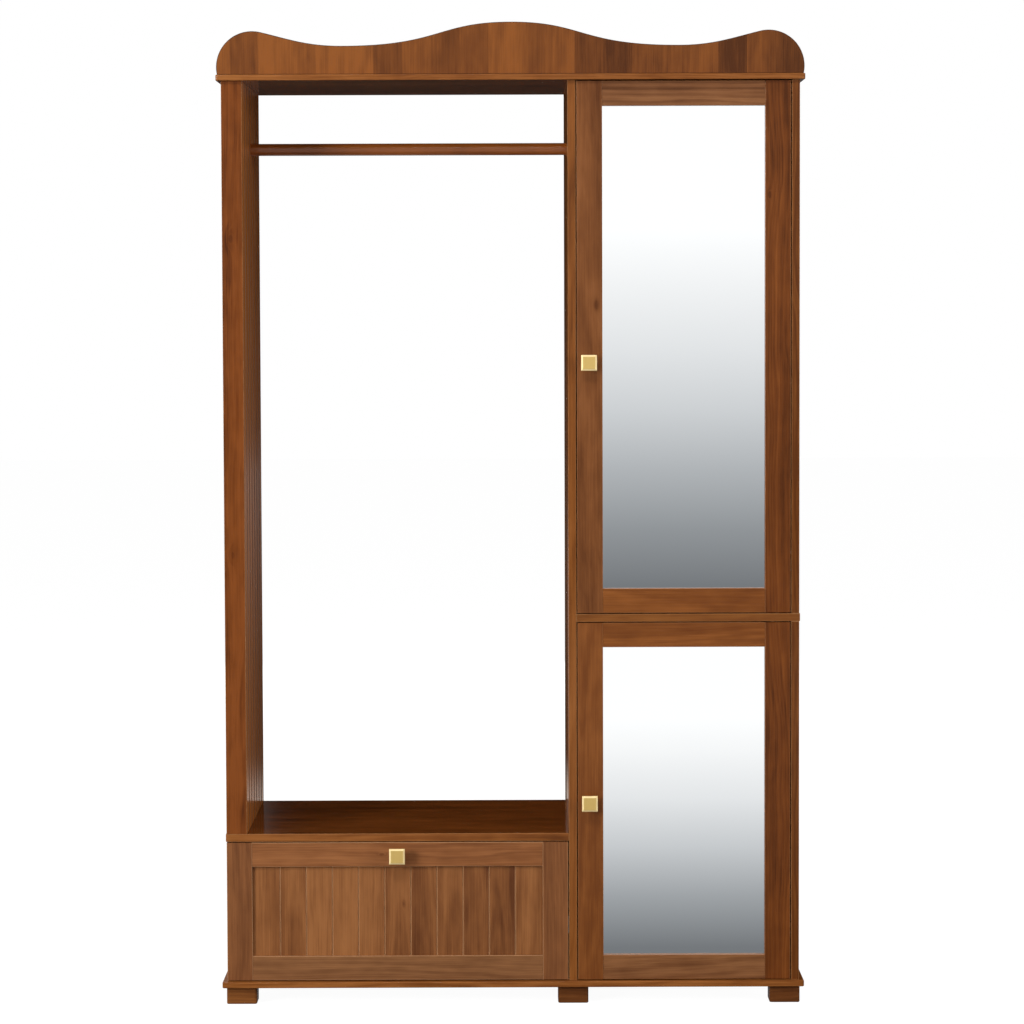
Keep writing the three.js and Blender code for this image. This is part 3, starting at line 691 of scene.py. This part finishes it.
def nail_head(x, y, z):
    """A domed nail head whose top is at a place on the rear."""
    bpy.ops.object.select_all(action="DESELECT")
    bpy.ops.mesh.primitive_cylinder_add(
        vertices=12,
        radius=NAIL_RADIUS,
        depth=NAIL_HEAD,
        location=(x, y - NAIL_HEAD / 2, z),
        rotation=(math.pi / 2, 0, 0),
    )
    head = bpy.context.object
    bpy.ops.object.transform_apply(location=True, rotation=True, scale=True)
    open_piece(head)
    pick(head, "EDGE", lambda p: near(p.y, y))
    ease(NAIL_HEAD * 0.6)
    close_piece(head)
    return head


def join_pieces(name, pieces):
    bpy.ops.object.select_all(action="DESELECT")
    for piece in pieces:
        piece.select_set(True)
    bpy.context.view_layer.objects.active = pieces[0]
    bpy.ops.object.join()
    pieces[0].name = name
    return pieces[0]


for panel_node in ("back_panel_cupboards", "back_panel_drawer_bay"):
    low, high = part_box(panel_node)
    panel = block("pinned_" + panel_node, low, (high.x, high.y - NAIL_HEAD, high.z))
    paint(panel, back_hardboard)
    open_piece(panel)
    pick(panel, "EDGE")
    ease(HARDBOARD_ARRIS, 1)
    close_piece(panel)
    fit(panel, "carcass", "hardboard", panel_node)
    width = high.x - low.x - 2 * NAIL_INSET
    height = high.z - low.z - 2 * NAIL_INSET
    columns = max(1, round(width / NAIL_SPACING))
    rows = max(1, round(height / NAIL_SPACING))
    spots = {(i / columns, edge) for i in range(columns + 1) for edge in (0, 1)}
    spots |= {(edge, i / rows) for i in range(rows + 1) for edge in (0, 1)}
    first = nail_head(low.x + NAIL_INSET, high.y, low.z + NAIL_INSET)
    heads = [first]
    for across, up in sorted(spots - {(0.0, 0)}):
        heads.append(copy_piece(first, "nail", (across * width, 0, up * height)))
    nails = join_pieces(panel_node + "_nails", heads)
    paint(nails, nail_steel)
    fit(nails, "carcass", "hardboard")

# Doors: frames of walnut-wrapped board, 18 mm thick, whose stiles run the full height with the
# rails between them. Behind, a rabbet holds the mirror and its hardboard backing, and the
# right-hand stile is bored for two hinge cups. Every front edge has a small round arris.

FRAME_ARRIS = 0.001
RABBET = 0.008
RABBET_FROM_FRONT = 0.008
FRAME_THICKNESS = 0.018
FRAME_GAP = 0.0002
PAST = 0.001  # how far a square cutter stands out past what it cuts
MIRROR_LAYER = (RABBET_FROM_FRONT, FRAME_THICKNESS + PAST)
PANEL_LAYER = (0.0058, 0.0142)
BORE_RADIUS = 0.0178
BORE_DEPTH = 0.0118

upper_left_stile = walnut(
    "upper_left_stile_walnut", "Z", (146, 93, 54), (121, 73, 39), (88, 49, 24), seed=9.3,
    knots=((0.172, 1.428, 0.006),),
)
lower_left_stile = walnut(
    "lower_left_stile_walnut", "Z", (144, 87, 43), (115, 65, 30), (90, 49, 24), seed=10.9,
)
right_stiles = walnut(
    "right_stile_walnut", "Z", (134, 76, 33), (110, 59, 24), (77, 39, 15), seed=12.4,
    knots=((0.523, 1.651, 0.004),),
)
tawny_rail = walnut("tawny_rail_walnut", "X", (144, 97, 61), (119, 76, 46), (86, 51, 28), seed=14.2)
red_rail = walnut("red_rail_walnut", "X", (147, 88, 42), (121, 69, 31), (88, 45, 19), seed=15.4)
# The frames' front arrises take this paler walnut: a painted highlight along each edge.
frame_arris = walnut(
    "frame_arris_walnut", "X", (154, 102, 62), (138, 88, 52), (112, 68, 38), seed=0.6,
)


def front_edges(piece, front_y, along, *materials):
    """Rounds the front edges of a frame member that run along it, in its second material."""
    paint(piece, *materials)
    open_piece(piece)
    pick(piece, "EDGE", lambda p: near(p.y, front_y), along)
    ease(FRAME_ARRIS, 3, material=1)
    close_piece(piece)


def stile(name, node, body, materials, inner_side, for_mirror, bores=()):
    """A full-height member. Its inner edge has the mirror's rabbet or the panel's slot."""
    low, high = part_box(node)
    piece = block(name, low, high)
    inner = high.x if inner_side > 0 else low.x
    cut = (inner - inner_side * RABBET, inner + inner_side * PAST)
    layer = MIRROR_LAYER if for_mirror else PANEL_LAYER
    slot_low = (min(cut), low.y + layer[0], low.z - PAST)
    slot_high = (max(cut), low.y + layer[1], high.z + PAST)
    carve(piece, block("slot", slot_low, slot_high))
    for x, z in bores:
        floor, mouth = (x, high.y - BORE_DEPTH, z), (x, high.y + BORE_PAST, z)
        carve(piece, round_bar("bore", BORE_RADIUS, floor, mouth))
    front_edges(piece, low.y, 2, *materials)
    fit(piece, body, "front_walnut", node)


def rail(name, node, body, materials, inner_side, for_mirror):
    """A member between the stiles. Its ends lap behind the stiles or enter their slots."""
    low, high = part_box(node)
    piece = block(name, low, high)
    inner = high.z if inner_side > 0 else low.z
    cut = (inner - inner_side * RABBET, inner + inner_side * PAST)
    layer = MIRROR_LAYER if for_mirror else PANEL_LAYER
    slot_low = (low.x - PAST, low.y + layer[0], min(cut))
    slot_high = (high.x + PAST, low.y + layer[1], max(cut))
    carve(piece, block("slot", slot_low, slot_high))
    for near_x, far_x in ((low.x - PAST, low.x + RABBET), (high.x - RABBET, high.x + PAST)):
        front_low = (near_x, low.y - PAST, low.z - PAST)
        front_high = (far_x, low.y + layer[0] + FRAME_GAP, high.z + PAST)
        carve(piece, block("end", front_low, front_high))
        if not for_mirror:
            rear_low = (near_x, low.y + layer[1] - FRAME_GAP, low.z - PAST)
            rear_high = (far_x, high.y + PAST, high.z + PAST)
            carve(piece, block("end", rear_low, rear_high))
    front_edges(piece, low.y, 0, *materials)
    fit(piece, body, "front_walnut", node)


for door, left_walnut, top_walnut, bottom_walnut in (
    ("upper_door", upper_left_stile, tawny_rail, red_rail),
    ("lower_door", lower_left_stile, red_rail, tawny_rail),
):
    cups = [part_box(f"{door}_hinge_cup_{end}") for end in ("top", "bottom")]
    bores = [((low.x + high.x) / 2, (low.z + high.z) / 2) for low, high in cups]
    left_finish, right_finish = (left_walnut, frame_arris), (right_stiles, frame_arris)
    stile(f"{door}_left_frame", f"{door}_stile_left", door, left_finish, 1, True)
    stile(f"{door}_right_frame", f"{door}_stile_right", door, right_finish, -1, True, bores)
    rail(f"{door}_top_frame", f"{door}_rail_top", door, (top_walnut, frame_arris), -1, True)
    rail(f"{door}_bottom_frame", f"{door}_rail_bottom", door, (bottom_walnut, frame_arris), 1, True)

# Mirrors: 4 mm silvered glass with a ground edge, laid in each door's rabbet from behind and shut
# in by a hardboard backing, which is held by small pins driven into the rabbet.

GLASS_ARRIS = 0.0006
BACKING_ARRIS = 0.0003


def silvered_glass():
    """Silvering under clear glass, with the faintest haze of a wiped surface."""
    material, shader, start, place = new_finish("silvered_glass", Metallic=1.0)
    haze = start.noise(place.scaled(3.0, 3.0, 2.0), detail=4.0)
    feed(shader, start.mix(haze, shade(248, 250, 251), shade(251, 252, 252)), "Base Color")
    feed(shader, haze * 0.006 + 0.004, "Roughness")
    return material


mirror_silver = silvered_glass()
backing_hardboard = hardboard_finish("backing_hardboard", shade(92, 60, 36), shade(126, 86, 54))
for door in ("upper_door", "lower_door"):
    glass = block(f"{door}_silvered_glass", *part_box(f"{door}_mirror"))
    paint(glass, mirror_silver)
    open_piece(glass)
    pick(glass, "EDGE")
    ease(GLASS_ARRIS, 1)
    close_piece(glass)
    fit(glass, door, "mirror_glass", f"{door}_mirror")
    eased_board(
        f"{door}_backing_board", f"{door}_backing", backing_hardboard, body=door,
        slot="hardboard", arris=BACKING_ARRIS,
    )

# Knobs: cast brass, satin brushed. A square head with a wide bevelled rim stands on a round stem
# and foot, and a screw from behind the frame holds it.

KNOB_FOOT_RADIUS = 0.0095
KNOB_STEM_RADIUS = 0.007
KNOB_FACE_INSET = 0.0036
KNOB_FACE_RISE = 0.0018
KNOB_SLAB = 0.0042
KNOB_BACK = 0.003
KNOB_BACK_SHARE = 0.82
KNOB_STEM_SUNK = 0.0002
KNOB_FOOT_HEIGHT = 0.0025
KNOB_EASING = 0.0004
KNOB_FOOT_EASING = 0.0005


def brass_finish(name, dull, bright, metallic):
    """Lacquered satin brass: fine brushing that runs up the face, and a slow change of shine."""
    material, shader, start, place = new_finish(name, Metallic=metallic)
    brushing = start.noise(place.scaled(5200.0, 1200.0, 160.0))
    cloud = start.noise(place.scaled(60.0, 60.0, 60.0))
    feed(shader, start.mix(brushing, dull, bright), "Base Color")
    feed(shader, brushing * 0.1 + cloud * 0.06 + 0.42, "Roughness")
    feed(shader, start.node("Bump", {"Strength": 0.05, "Distance": 0.0002, "Height": brushing}), "Normal")
    return material


face_brass = brass_finish("satin_brass", shade(200, 165, 90), shade(210, 179, 106), 0.3)
# The rim is painted paler than the face: a painted highlight on its bevel.
rim_brass = brass_finish("rim_brass", shade(240, 210, 146), shade(246, 222, 166), 0.15)
knob_low, knob_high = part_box("drawer_knob")
knob_x = (knob_low.x + knob_high.x) / 2
knob_z = (knob_low.z + knob_high.z) / 2
rim_y = knob_low.y + KNOB_FACE_RISE
slab_y = rim_y + KNOB_SLAB
back_y = slab_y + KNOB_BACK
head = block("knob_head", (knob_low.x, rim_y, knob_low.z), (knob_high.x, slab_y, knob_high.z))
paint(head, face_brass, rim_brass)
open_piece(head)
pick(head, "FACE", lambda p: near(p.y, rim_y))
bpy.ops.mesh.inset(thickness=KNOB_FACE_INSET, depth=0)
bpy.ops.transform.translate(value=(0, -KNOB_FACE_RISE, 0))
pick(head, "FACE", lambda p: p.y < rim_y + 1e-5)
head.active_material_index = 1
bpy.ops.object.material_slot_assign()
pick(head, "FACE", lambda p: p.y < rim_y - 0.9 * KNOB_FACE_RISE)
head.active_material_index = 0
bpy.ops.object.material_slot_assign()
pick(head, "FACE", lambda p: near(p.y, slab_y))
bpy.ops.mesh.extrude_region_move(TRANSFORM_OT_translate={"value": (0, KNOB_BACK, 0)})
narrowing = (KNOB_BACK_SHARE, 1, KNOB_BACK_SHARE)
bpy.ops.transform.resize(value=narrowing, center_override=(knob_x, back_y, knob_z))
pick(head, "EDGE")
ease(KNOB_EASING, 2)
close_piece(head, 30)
stem_start = (knob_x, back_y - KNOB_STEM_SUNK, knob_z)
stem = round_bar("knob_stem", KNOB_STEM_RADIUS, stem_start, (knob_x, knob_high.y, knob_z))
open_piece(stem)
foot_y = knob_high.y - KNOB_FOOT_HEIGHT
for ring_y in (foot_y, foot_y - KNOB_FOOT_HEIGHT):
    bpy.ops.mesh.select_all(action="SELECT")
    bpy.ops.mesh.bisect(plane_co=(0, ring_y, 0), plane_no=(0, 1, 0))
pick(stem, "VERT", lambda p: p.y > foot_y - 1e-4)
widening = KNOB_FOOT_RADIUS / KNOB_STEM_RADIUS
bpy.ops.transform.resize(
    value=(widening, 1, widening), center_override=(knob_x, knob_high.y, knob_z)
)
pick(stem, "EDGE", lambda p: near(p.y, foot_y, 1e-4))
ease(KNOB_FOOT_EASING)
close_piece(stem)
paint(stem, face_brass)
knob = join_pieces("brass_drawer_knob", [head, stem])
for knob_body in ("upper_door", "lower_door"):
    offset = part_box(f"{knob_body}_knob")[0] - knob_low
    copied = copy_piece(knob, f"brass_{knob_body}_knob", offset)
    fit(copied, knob_body, "satin_brass", f"{knob_body}_knob")
fit(knob, "drawer", "satin_brass", "drawer_knob")

# Hinges: two 35 mm concealed hinges to a door, of pressed and plated steel. The cup sits in the
# stile's bore and the arm on a wing plate, and each is held by two cross-head screws.

CUP_ARRIS = 0.0003
ARM_ARRIS = 0.0004
CUP_FLANGE_TOP = 0.0014
CUP_SCREW_FROM_MIDDLE = 0.0225
WING_TOP = 0.003
WING_FROM_REAR = 0.021
WING_SCREW_FROM_MIDDLE = 0.0175
SCREW_RADIUS = 0.0036
SCREW_RISE = 0.0012
SCREW_CROSS_REACH = SCREW_RADIUS * 0.6

hinge_steel = steel_finish("hinge_steel", shade(188, 190, 192), dull=0.26)
screw_steel = steel_finish("screw_steel", shade(164, 166, 168), dull=0.34)


def refined(name, node, arris, body, slot, material):
    """Copies a CAD solid, merges its corners and rounds its arrises."""
    piece = bpy.data.objects.new(name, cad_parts[node].data.copy())
    bpy.context.collection.objects.link(piece)
    paint(piece, material)
    open_piece(piece)
    bpy.ops.mesh.select_all(action="SELECT")
    bpy.ops.mesh.remove_doubles(threshold=1e-6)
    bpy.ops.mesh.dissolve_limited(angle_limit=math.radians(1))
    bpy.ops.object.mode_set(mode="OBJECT")
    rounding = piece.modifiers.new("rounding", "BEVEL")
    rounding.width = arris
    rounding.segments = 2
    rounding.limit_method = "ANGLE"
    rounding.angle_limit = math.radians(40)
    bpy.ops.object.modifier_apply(modifier="rounding")
    smooth(piece)
    fit(piece, body, slot, node)


bpy.ops.object.select_all(action="DESELECT")
bpy.ops.mesh.primitive_cylinder_add(vertices=20, radius=SCREW_RADIUS, depth=SCREW_RISE)
screw_head = bpy.context.object
open_piece(screw_head)
pick(screw_head, "EDGE", lambda p: near(p.z, SCREW_RISE / 2))
ease(SCREW_RISE * 0.7, 3)
close_piece(screw_head)
for long, wide in ((1, 0.2), (0.2, 1)):
    reach_x, reach_y = SCREW_CROSS_REACH * long, SCREW_CROSS_REACH * wide
    slot_low, slot_high = (-reach_x, -reach_y, SCREW_RISE * 0.05), (reach_x, reach_y, SCREW_RISE)
    carve(screw_head, block("cross", slot_low, slot_high))


def screw_pair(name, middle, from_middle, outwards, body):
    """Two screw heads, one above the other on a face that looks along an axis, as one piece."""
    outwards = Vector(outwards)
    turn = outwards.to_track_quat("Z", "Y").to_matrix().to_4x4()
    heads = []
    for side in (-1, 1):
        seat = Vector((middle[0], middle[1], middle[2] + side * from_middle))
        heads.append(copy_piece(screw_head, "head", seat + outwards * SCREW_RISE / 2, turn))
    screws = join_pieces(name, heads)
    paint(screws, screw_steel)
    fit(screws, body, "plain_steel")


for door in ("upper_door", "lower_door"):
    flange_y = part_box(f"{door}_stile_right")[1].y + CUP_FLANGE_TOP
    for end in ("top", "bottom"):
        hinge = f"{door}_{end}"
        cup_node = f"{door}_hinge_cup_{end}"
        arm_node = f"{door}_hinge_arm_{end}"
        refined(f"{hinge}_cup", cup_node, CUP_ARRIS, door, "plain_steel", hinge_steel)
        refined(f"{hinge}_arm", arm_node, ARM_ARRIS, "carcass", "plain_steel", hinge_steel)
        cup_low, cup_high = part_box(cup_node)
        arm_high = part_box(arm_node)[1]
        cup = ((cup_low.x + cup_high.x) / 2, flange_y, (cup_low.z + cup_high.z) / 2)
        screw_pair(f"{hinge}_cup_screws", cup, CUP_SCREW_FROM_MIDDLE, (0, 1, 0), door)
        wing = (arm_high.x - WING_TOP, arm_high.y - WING_FROM_REAR, cup[2])
        screw_pair(f"{hinge}_wing_screws", wing, WING_SCREW_FROM_MIDDLE, (-1, 0, 0), "carcass")
bpy.data.objects.remove(screw_head, do_unlink=True)

# Drawer front: a frame like the doors', with stiles at full height and a tongued panel in its
# slots. The panel looks like eleven planks, with a V groove at each joint.

drawer_stiles = walnut(
    "drawer_stile_walnut", "Z", (140, 89, 53), (114, 70, 41), (86, 50, 28), seed=16.5, painted_falloff=0.4,
)
drawer_rails = walnut(
    "drawer_rail_walnut", "X", (156, 101, 61), (131, 81, 47), (96, 55, 31), seed=18.1,
    knots=((-0.268, 0.308, 0.003),),
)
lower_drawer_rail = walnut(
    "lower_drawer_rail_walnut", "X", (154, 105, 67), (128, 85, 53), (96, 58, 34), seed=19.6,
)
# The drawer's grooves and frame arrises take this pale walnut: partly the paler core exposed where they
# are cut, partly a painted highlight.
groove_walnut = walnut(
    "groove_walnut", "X", (190, 146, 108), (172, 126, 88), (142, 98, 64), seed=0.8, contrast=0.2,
    relief=0.0,
)
panel_low, panel_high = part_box("drawer_front_panel")
panel_lines = plank_lines(panel_low.x, panel_high.x)
drawer_planks = walnut(
    "drawer_plank_walnut", "Z", (156, 102, 60), (130, 81, 46), (94, 54, 30), stave=PLANK_PITCH,
    joint=panel_lines[0] + panel_low.y * ACROSS_SLANT, seed=2.6, variety=0.6,
    knots=((-0.224, 0.205, 0.004),),
)
stile_finish, top_finish = (drawer_stiles, groove_walnut), (drawer_rails, groove_walnut)
bottom_finish = (lower_drawer_rail, groove_walnut)
stile("drawer_left_frame", "drawer_front_stile_left", "drawer", stile_finish, 1, False)
stile("drawer_right_frame", "drawer_front_stile_right", "drawer", stile_finish, -1, False)
rail("drawer_top_frame", "drawer_front_rail_top", "drawer", top_finish, -1, False)
rail("drawer_bottom_frame", "drawer_front_rail_bottom", "drawer", bottom_finish, 1, False)
planked = block("planked_drawer_panel", panel_low, panel_high)
paint(planked, drawer_planks, groove_walnut)
groove(planked, 0, panel_lines, panel_low.y, 1)
fit(planked, "drawer", "front_walnut", "drawer_front_panel")

# Drawer box: walnut-faced sides and back with a grooved-in hardboard bottom, screwed to the front
# from inside. Full sides carry the runners.

BOX_GROOVE_PAST = 0.002

box_walnut = walnut("box_walnut", "Y", CARCASS_PALE, CARCASS_BROWN, CARCASS_DARK, seed=20.3)
box_back_walnut = walnut(
    "box_back_walnut", "X", CARCASS_PALE, CARCASS_BROWN, CARCASS_DARK, seed=21.7,
)
floor_low, floor_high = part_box("drawer_bottom")
for box_node, material in (
    ("drawer_side_left", box_walnut),
    ("drawer_side_right", box_walnut),
    ("drawer_back", box_back_walnut),
):
    side = eased_board("faced_" + box_node, box_node, material, body="drawer")
    groove_low = (floor_low.x - FRAME_GAP, floor_low.y - BOX_GROOVE_PAST, floor_low.z - FRAME_GAP)
    groove_high = (floor_high.x + FRAME_GAP, floor_high.y + FRAME_GAP, floor_high.z + FRAME_GAP)
    carve(side, block("groove", groove_low, groove_high))
eased_board(
    "hardboard_drawer_bottom", "drawer_bottom", back_hardboard, body="drawer",
    slot="hardboard", arris=BACKING_ARRIS,
)

# Runners: side-mounted, of rolled and plated steel. A lipped channel is screwed to the carcass and
# a hat-shaped slide to the drawer's side, which runs in it.

RUNNER_ARRIS = 0.0002

runner_steel = steel_finish("runner_steel", shade(176, 178, 180))
for side in ("left", "right"):
    for name, node, body in (
        (f"lipped_channel_{side}", f"runner_channel_{side}", "carcass"),
        (f"hat_slide_{side}", f"runner_slide_{side}", "drawer"),
    ):
        refined(name, node, RUNNER_ARRIS, body, "plain_steel", runner_steel)

# Studio: a white floor that keeps a faint shadow, soft lamps at the front, and for reflections a
# floor and a screen behind the camera that go from grey to white as they rise. Reflections of what
# is behind the wardrobe are dark in the middle and paler to the sides.

FLOOR_WIDTH = 40
FLOOR_DROP = 0.0005
GREY_FLOOR_START = 0.5
GREY_FLOOR_LENGTH = 3.5
WARDROBE_REAR = (0.19, 0.21)
SCREEN_FROM_ORIGIN = 7.0
SCREEN_WIDTH = 8.0
SCREEN_HEIGHT = 4.0
GREY_SCREEN_START = 0.143
GREY_SCREEN_HEIGHT = 1.636
LAMPS_AIM = Vector((0, 0, 1.0))


def grey(level):
    """A grey of the studio, colder as it gets darker."""
    cold = 0.07 * (1 - min(level, 1))
    return (level * (1 - cold), level, level * (1 + cold), 1.0)


bpy.ops.object.select_all(action="DESELECT")
bpy.ops.mesh.primitive_plane_add(size=FLOOR_WIDTH, location=(0, 0, -FLOOR_DROP))
studio_floor = bpy.context.object
studio_floor.name = "studio_floor"
floor_paint = bpy.data.materials.new("floor_paint")
floor_paint.use_nodes = True
floor_tree = floor_paint.node_tree
floor_tree.nodes.clear()
start = Signal(floor_tree)
floor_place = start.node("TexCoord", {}, output="Object")
floor_x = floor_place.axis("X")
floor_y = floor_place.axis("Y")
in_front = start.node(
    "ValToRGB",
    {"Fac": (floor_y * -1.0 - GREY_FLOOR_START) / GREY_FLOOR_LENGTH},
    stops=(
        (0.04, grey(0.195)),
        (0.115, grey(0.287)),
        (0.191, grey(0.378)),
        (0.362, grey(0.610)),
        (0.563, grey(0.822)),
        (0.805, grey(0.970)),
        (1.0, grey(1.05)),
    ),
)
near_wall = floor_y.band(2.9, 1.9) * floor_x.band(0.0, -0.15)
far_floor = start.mix(floor_y.band(3.5, 9.0), (0.02, 0.018, 0.015, 1.0), (0.03, 0.025, 0.02, 1.0))
aside = (start.maths("ABSOLUTE", floor_x) - floor_y * 0.25).band(0.2, 0.6)
aside = start.maths("MAXIMUM", aside, floor_x.band(0.6, 1.1) * 0.5)
far_floor = start.mix(aside, far_floor, grey(0.45))
seen_behind = start.mix(near_wall, far_floor, (0.85, 0.76, 0.68, 1.0))
seen_floor = start.mix(floor_y.band(*WARDROBE_REAR), in_front, seen_behind)
is_camera = start.node("LightPath", {}, output="Is Camera Ray")
is_glossy = start.node("LightPath", {}, output="Is Glossy Ray")
matt = start.node("BsdfDiffuse", {"Color": (0.14, 0.14, 0.14, 1.0)})
glow = start.node("Emission", {"Color": (1.0, 1.0, 1.0, 1.0), "Strength": is_camera * 0.96})
lit = start.node("AddShader", {0: matt, 1: glow})
reflected = start.node("Emission", {"Color": seen_floor, "Strength": 1.0})
floor_shader = start.node("MixShader", {0: is_glossy, 1: lit, 2: reflected})
start.node("OutputMaterial", {"Surface": floor_shader})
studio_floor.data.materials.append(floor_paint)

screen_place = (0, -SCREEN_FROM_ORIGIN, SCREEN_HEIGHT / 2)
bpy.ops.mesh.primitive_plane_add(size=1, location=screen_place, rotation=(math.pi / 2, 0, 0))
screen = bpy.context.object
screen.name = "rear_screen"
screen.scale = (SCREEN_WIDTH, SCREEN_HEIGHT, 1.0)
bpy.ops.object.transform_apply(location=True, rotation=True, scale=True)
screen_paint = bpy.data.materials.new("screen_paint")
screen_paint.use_nodes = True
screen_tree = screen_paint.node_tree
screen_tree.nodes.clear()
start = Signal(screen_tree)
screen_z = start.node("TexCoord", {}, output="Object").axis("Z")
screen_tone = start.node(
    "ValToRGB",
    {"Fac": (screen_z - GREY_SCREEN_START) / GREY_SCREEN_HEIGHT},
    stops=(
        (0.0, grey(0.195)),
        (0.163, grey(0.310)),
        (0.331, grey(0.470)),
        (0.498, grey(0.655)),
        (0.665, grey(0.805)),
        (0.832, grey(0.925)),
        (1.0, grey(1.05)),
    ),
)
start.node("OutputMaterial", {"Surface": start.node("Emission", {"Color": screen_tone})})
screen.data.materials.append(screen_paint)
screen.visible_camera = False
screen.visible_diffuse = False
screen.visible_shadow = False


def soft_lamp(name, place, size, watts, in_gloss=True):
    """An oblong lamp turned to the wardrobe's middle. It needn't show in what shines."""
    light = bpy.data.lights.new(name, "AREA")
    light.shape = "RECTANGLE"
    light.size, light.size_y = size
    light.energy = watts
    lamp = bpy.data.objects.new(name, light)
    bpy.context.collection.objects.link(lamp)
    lamp.location = place
    lamp.rotation_euler = (LAMPS_AIM - Vector(place)).to_track_quat("-Z", "Y").to_euler()
    lamp.visible_glossy = in_gloss


soft_lamp("left_softbox", (-5.0, -4.4, 1.9), (2.0, 2.4), 308)
soft_lamp("right_softbox", (4.6, -3.0, 2.2), (1.4, 1.8), 62)
soft_lamp("overhead_softbox", (-0.6, -3.4, 4.5), (2.2, 0.9), 80)
soft_lamp("rear_softbox", (-0.2, 5.2, 1.0), (2.0, 1.6), 100, in_gloss=False)
soft_lamp("left_side_softbox", (-4.6, 1.0, 1.6), (1.6, 1.6), 45, in_gloss=False)
soft_lamp("right_side_softbox", (4.7, -1.3, 1.6), (1.8, 1.6), 75, in_gloss=False)

world = bpy.data.worlds.new("studio_air")
bpy.context.scene.world = world
world.use_nodes = True
world_tree = world.node_tree
world_tree.nodes.clear()
start = Signal(world_tree)
aim = start.node("TexCoord", {}, output="Generated")
aim_x = aim.axis("X")
aim_z = aim.axis("Z")
front = aim.axis("Y").band(0.6, -0.5)
ambient = front * 0.22 + aim_z.band(-0.2, 0.9) * 0.08 + 0.04
seen = start.node("LightPath", {}, output="Is Camera Ray")
mirrored = start.node("LightPath", {}, output="Is Glossy Ray")
low_behind = (1.0 - front) * aim_z.band(0.1, 0.15) * aim_z.band(0.45, 0.3)
sheen_behind = low_behind * aim_x.band(-0.084, -0.1) * 0.32
aside = start.maths("ABSOLUTE", aim_x).band(0.5, 0.8)
bright_air = start.maths("MAXIMUM", front * 0.32, aside * 0.4)
gloss_air = bright_air + aim_z.band(0.03, -0.03) * 0.014 + sheen_behind + 0.003
unseen = mirrored * gloss_air + (1.0 - mirrored) * ambient
strength = seen + (1.0 - seen) * unseen
air = start.node("Background", {"Color": (1.0, 1.0, 1.0, 1.0), "Strength": strength})
start.node("OutputWorld", {"Surface": air})

# Camera: at eye height in front of the wardrobe, where the photograph was taken, with a long lens.
# It is tipped and shifted a little, so that the wardrobe lies in the frame as it does there.

CAMERA_PLACE = Vector((-0.005, -5.652, 1.421))
CAMERA_YAW = 0.0011
CAMERA_PITCH = 0.0429
CAMERA_ROLL = -0.0032

camera_data = bpy.data.cameras.new("camera")
camera_data.lens = 94.90
camera_data.sensor_width = 36.0
camera_data.shift_y = -0.085
camera = bpy.data.objects.new("camera", camera_data)
bpy.context.collection.objects.link(camera)
camera.matrix_world = (
    Matrix.Translation(CAMERA_PLACE)
    @ Matrix.Rotation(-CAMERA_YAW, 4, "Z")
    @ Matrix.Rotation(math.pi / 2 - CAMERA_PITCH, 4, "X")
    @ Matrix.Rotation(CAMERA_ROLL, 4, "Z")
)
bpy.context.scene.camera = camera
bpy.context.scene.view_settings.view_transform = "Standard"
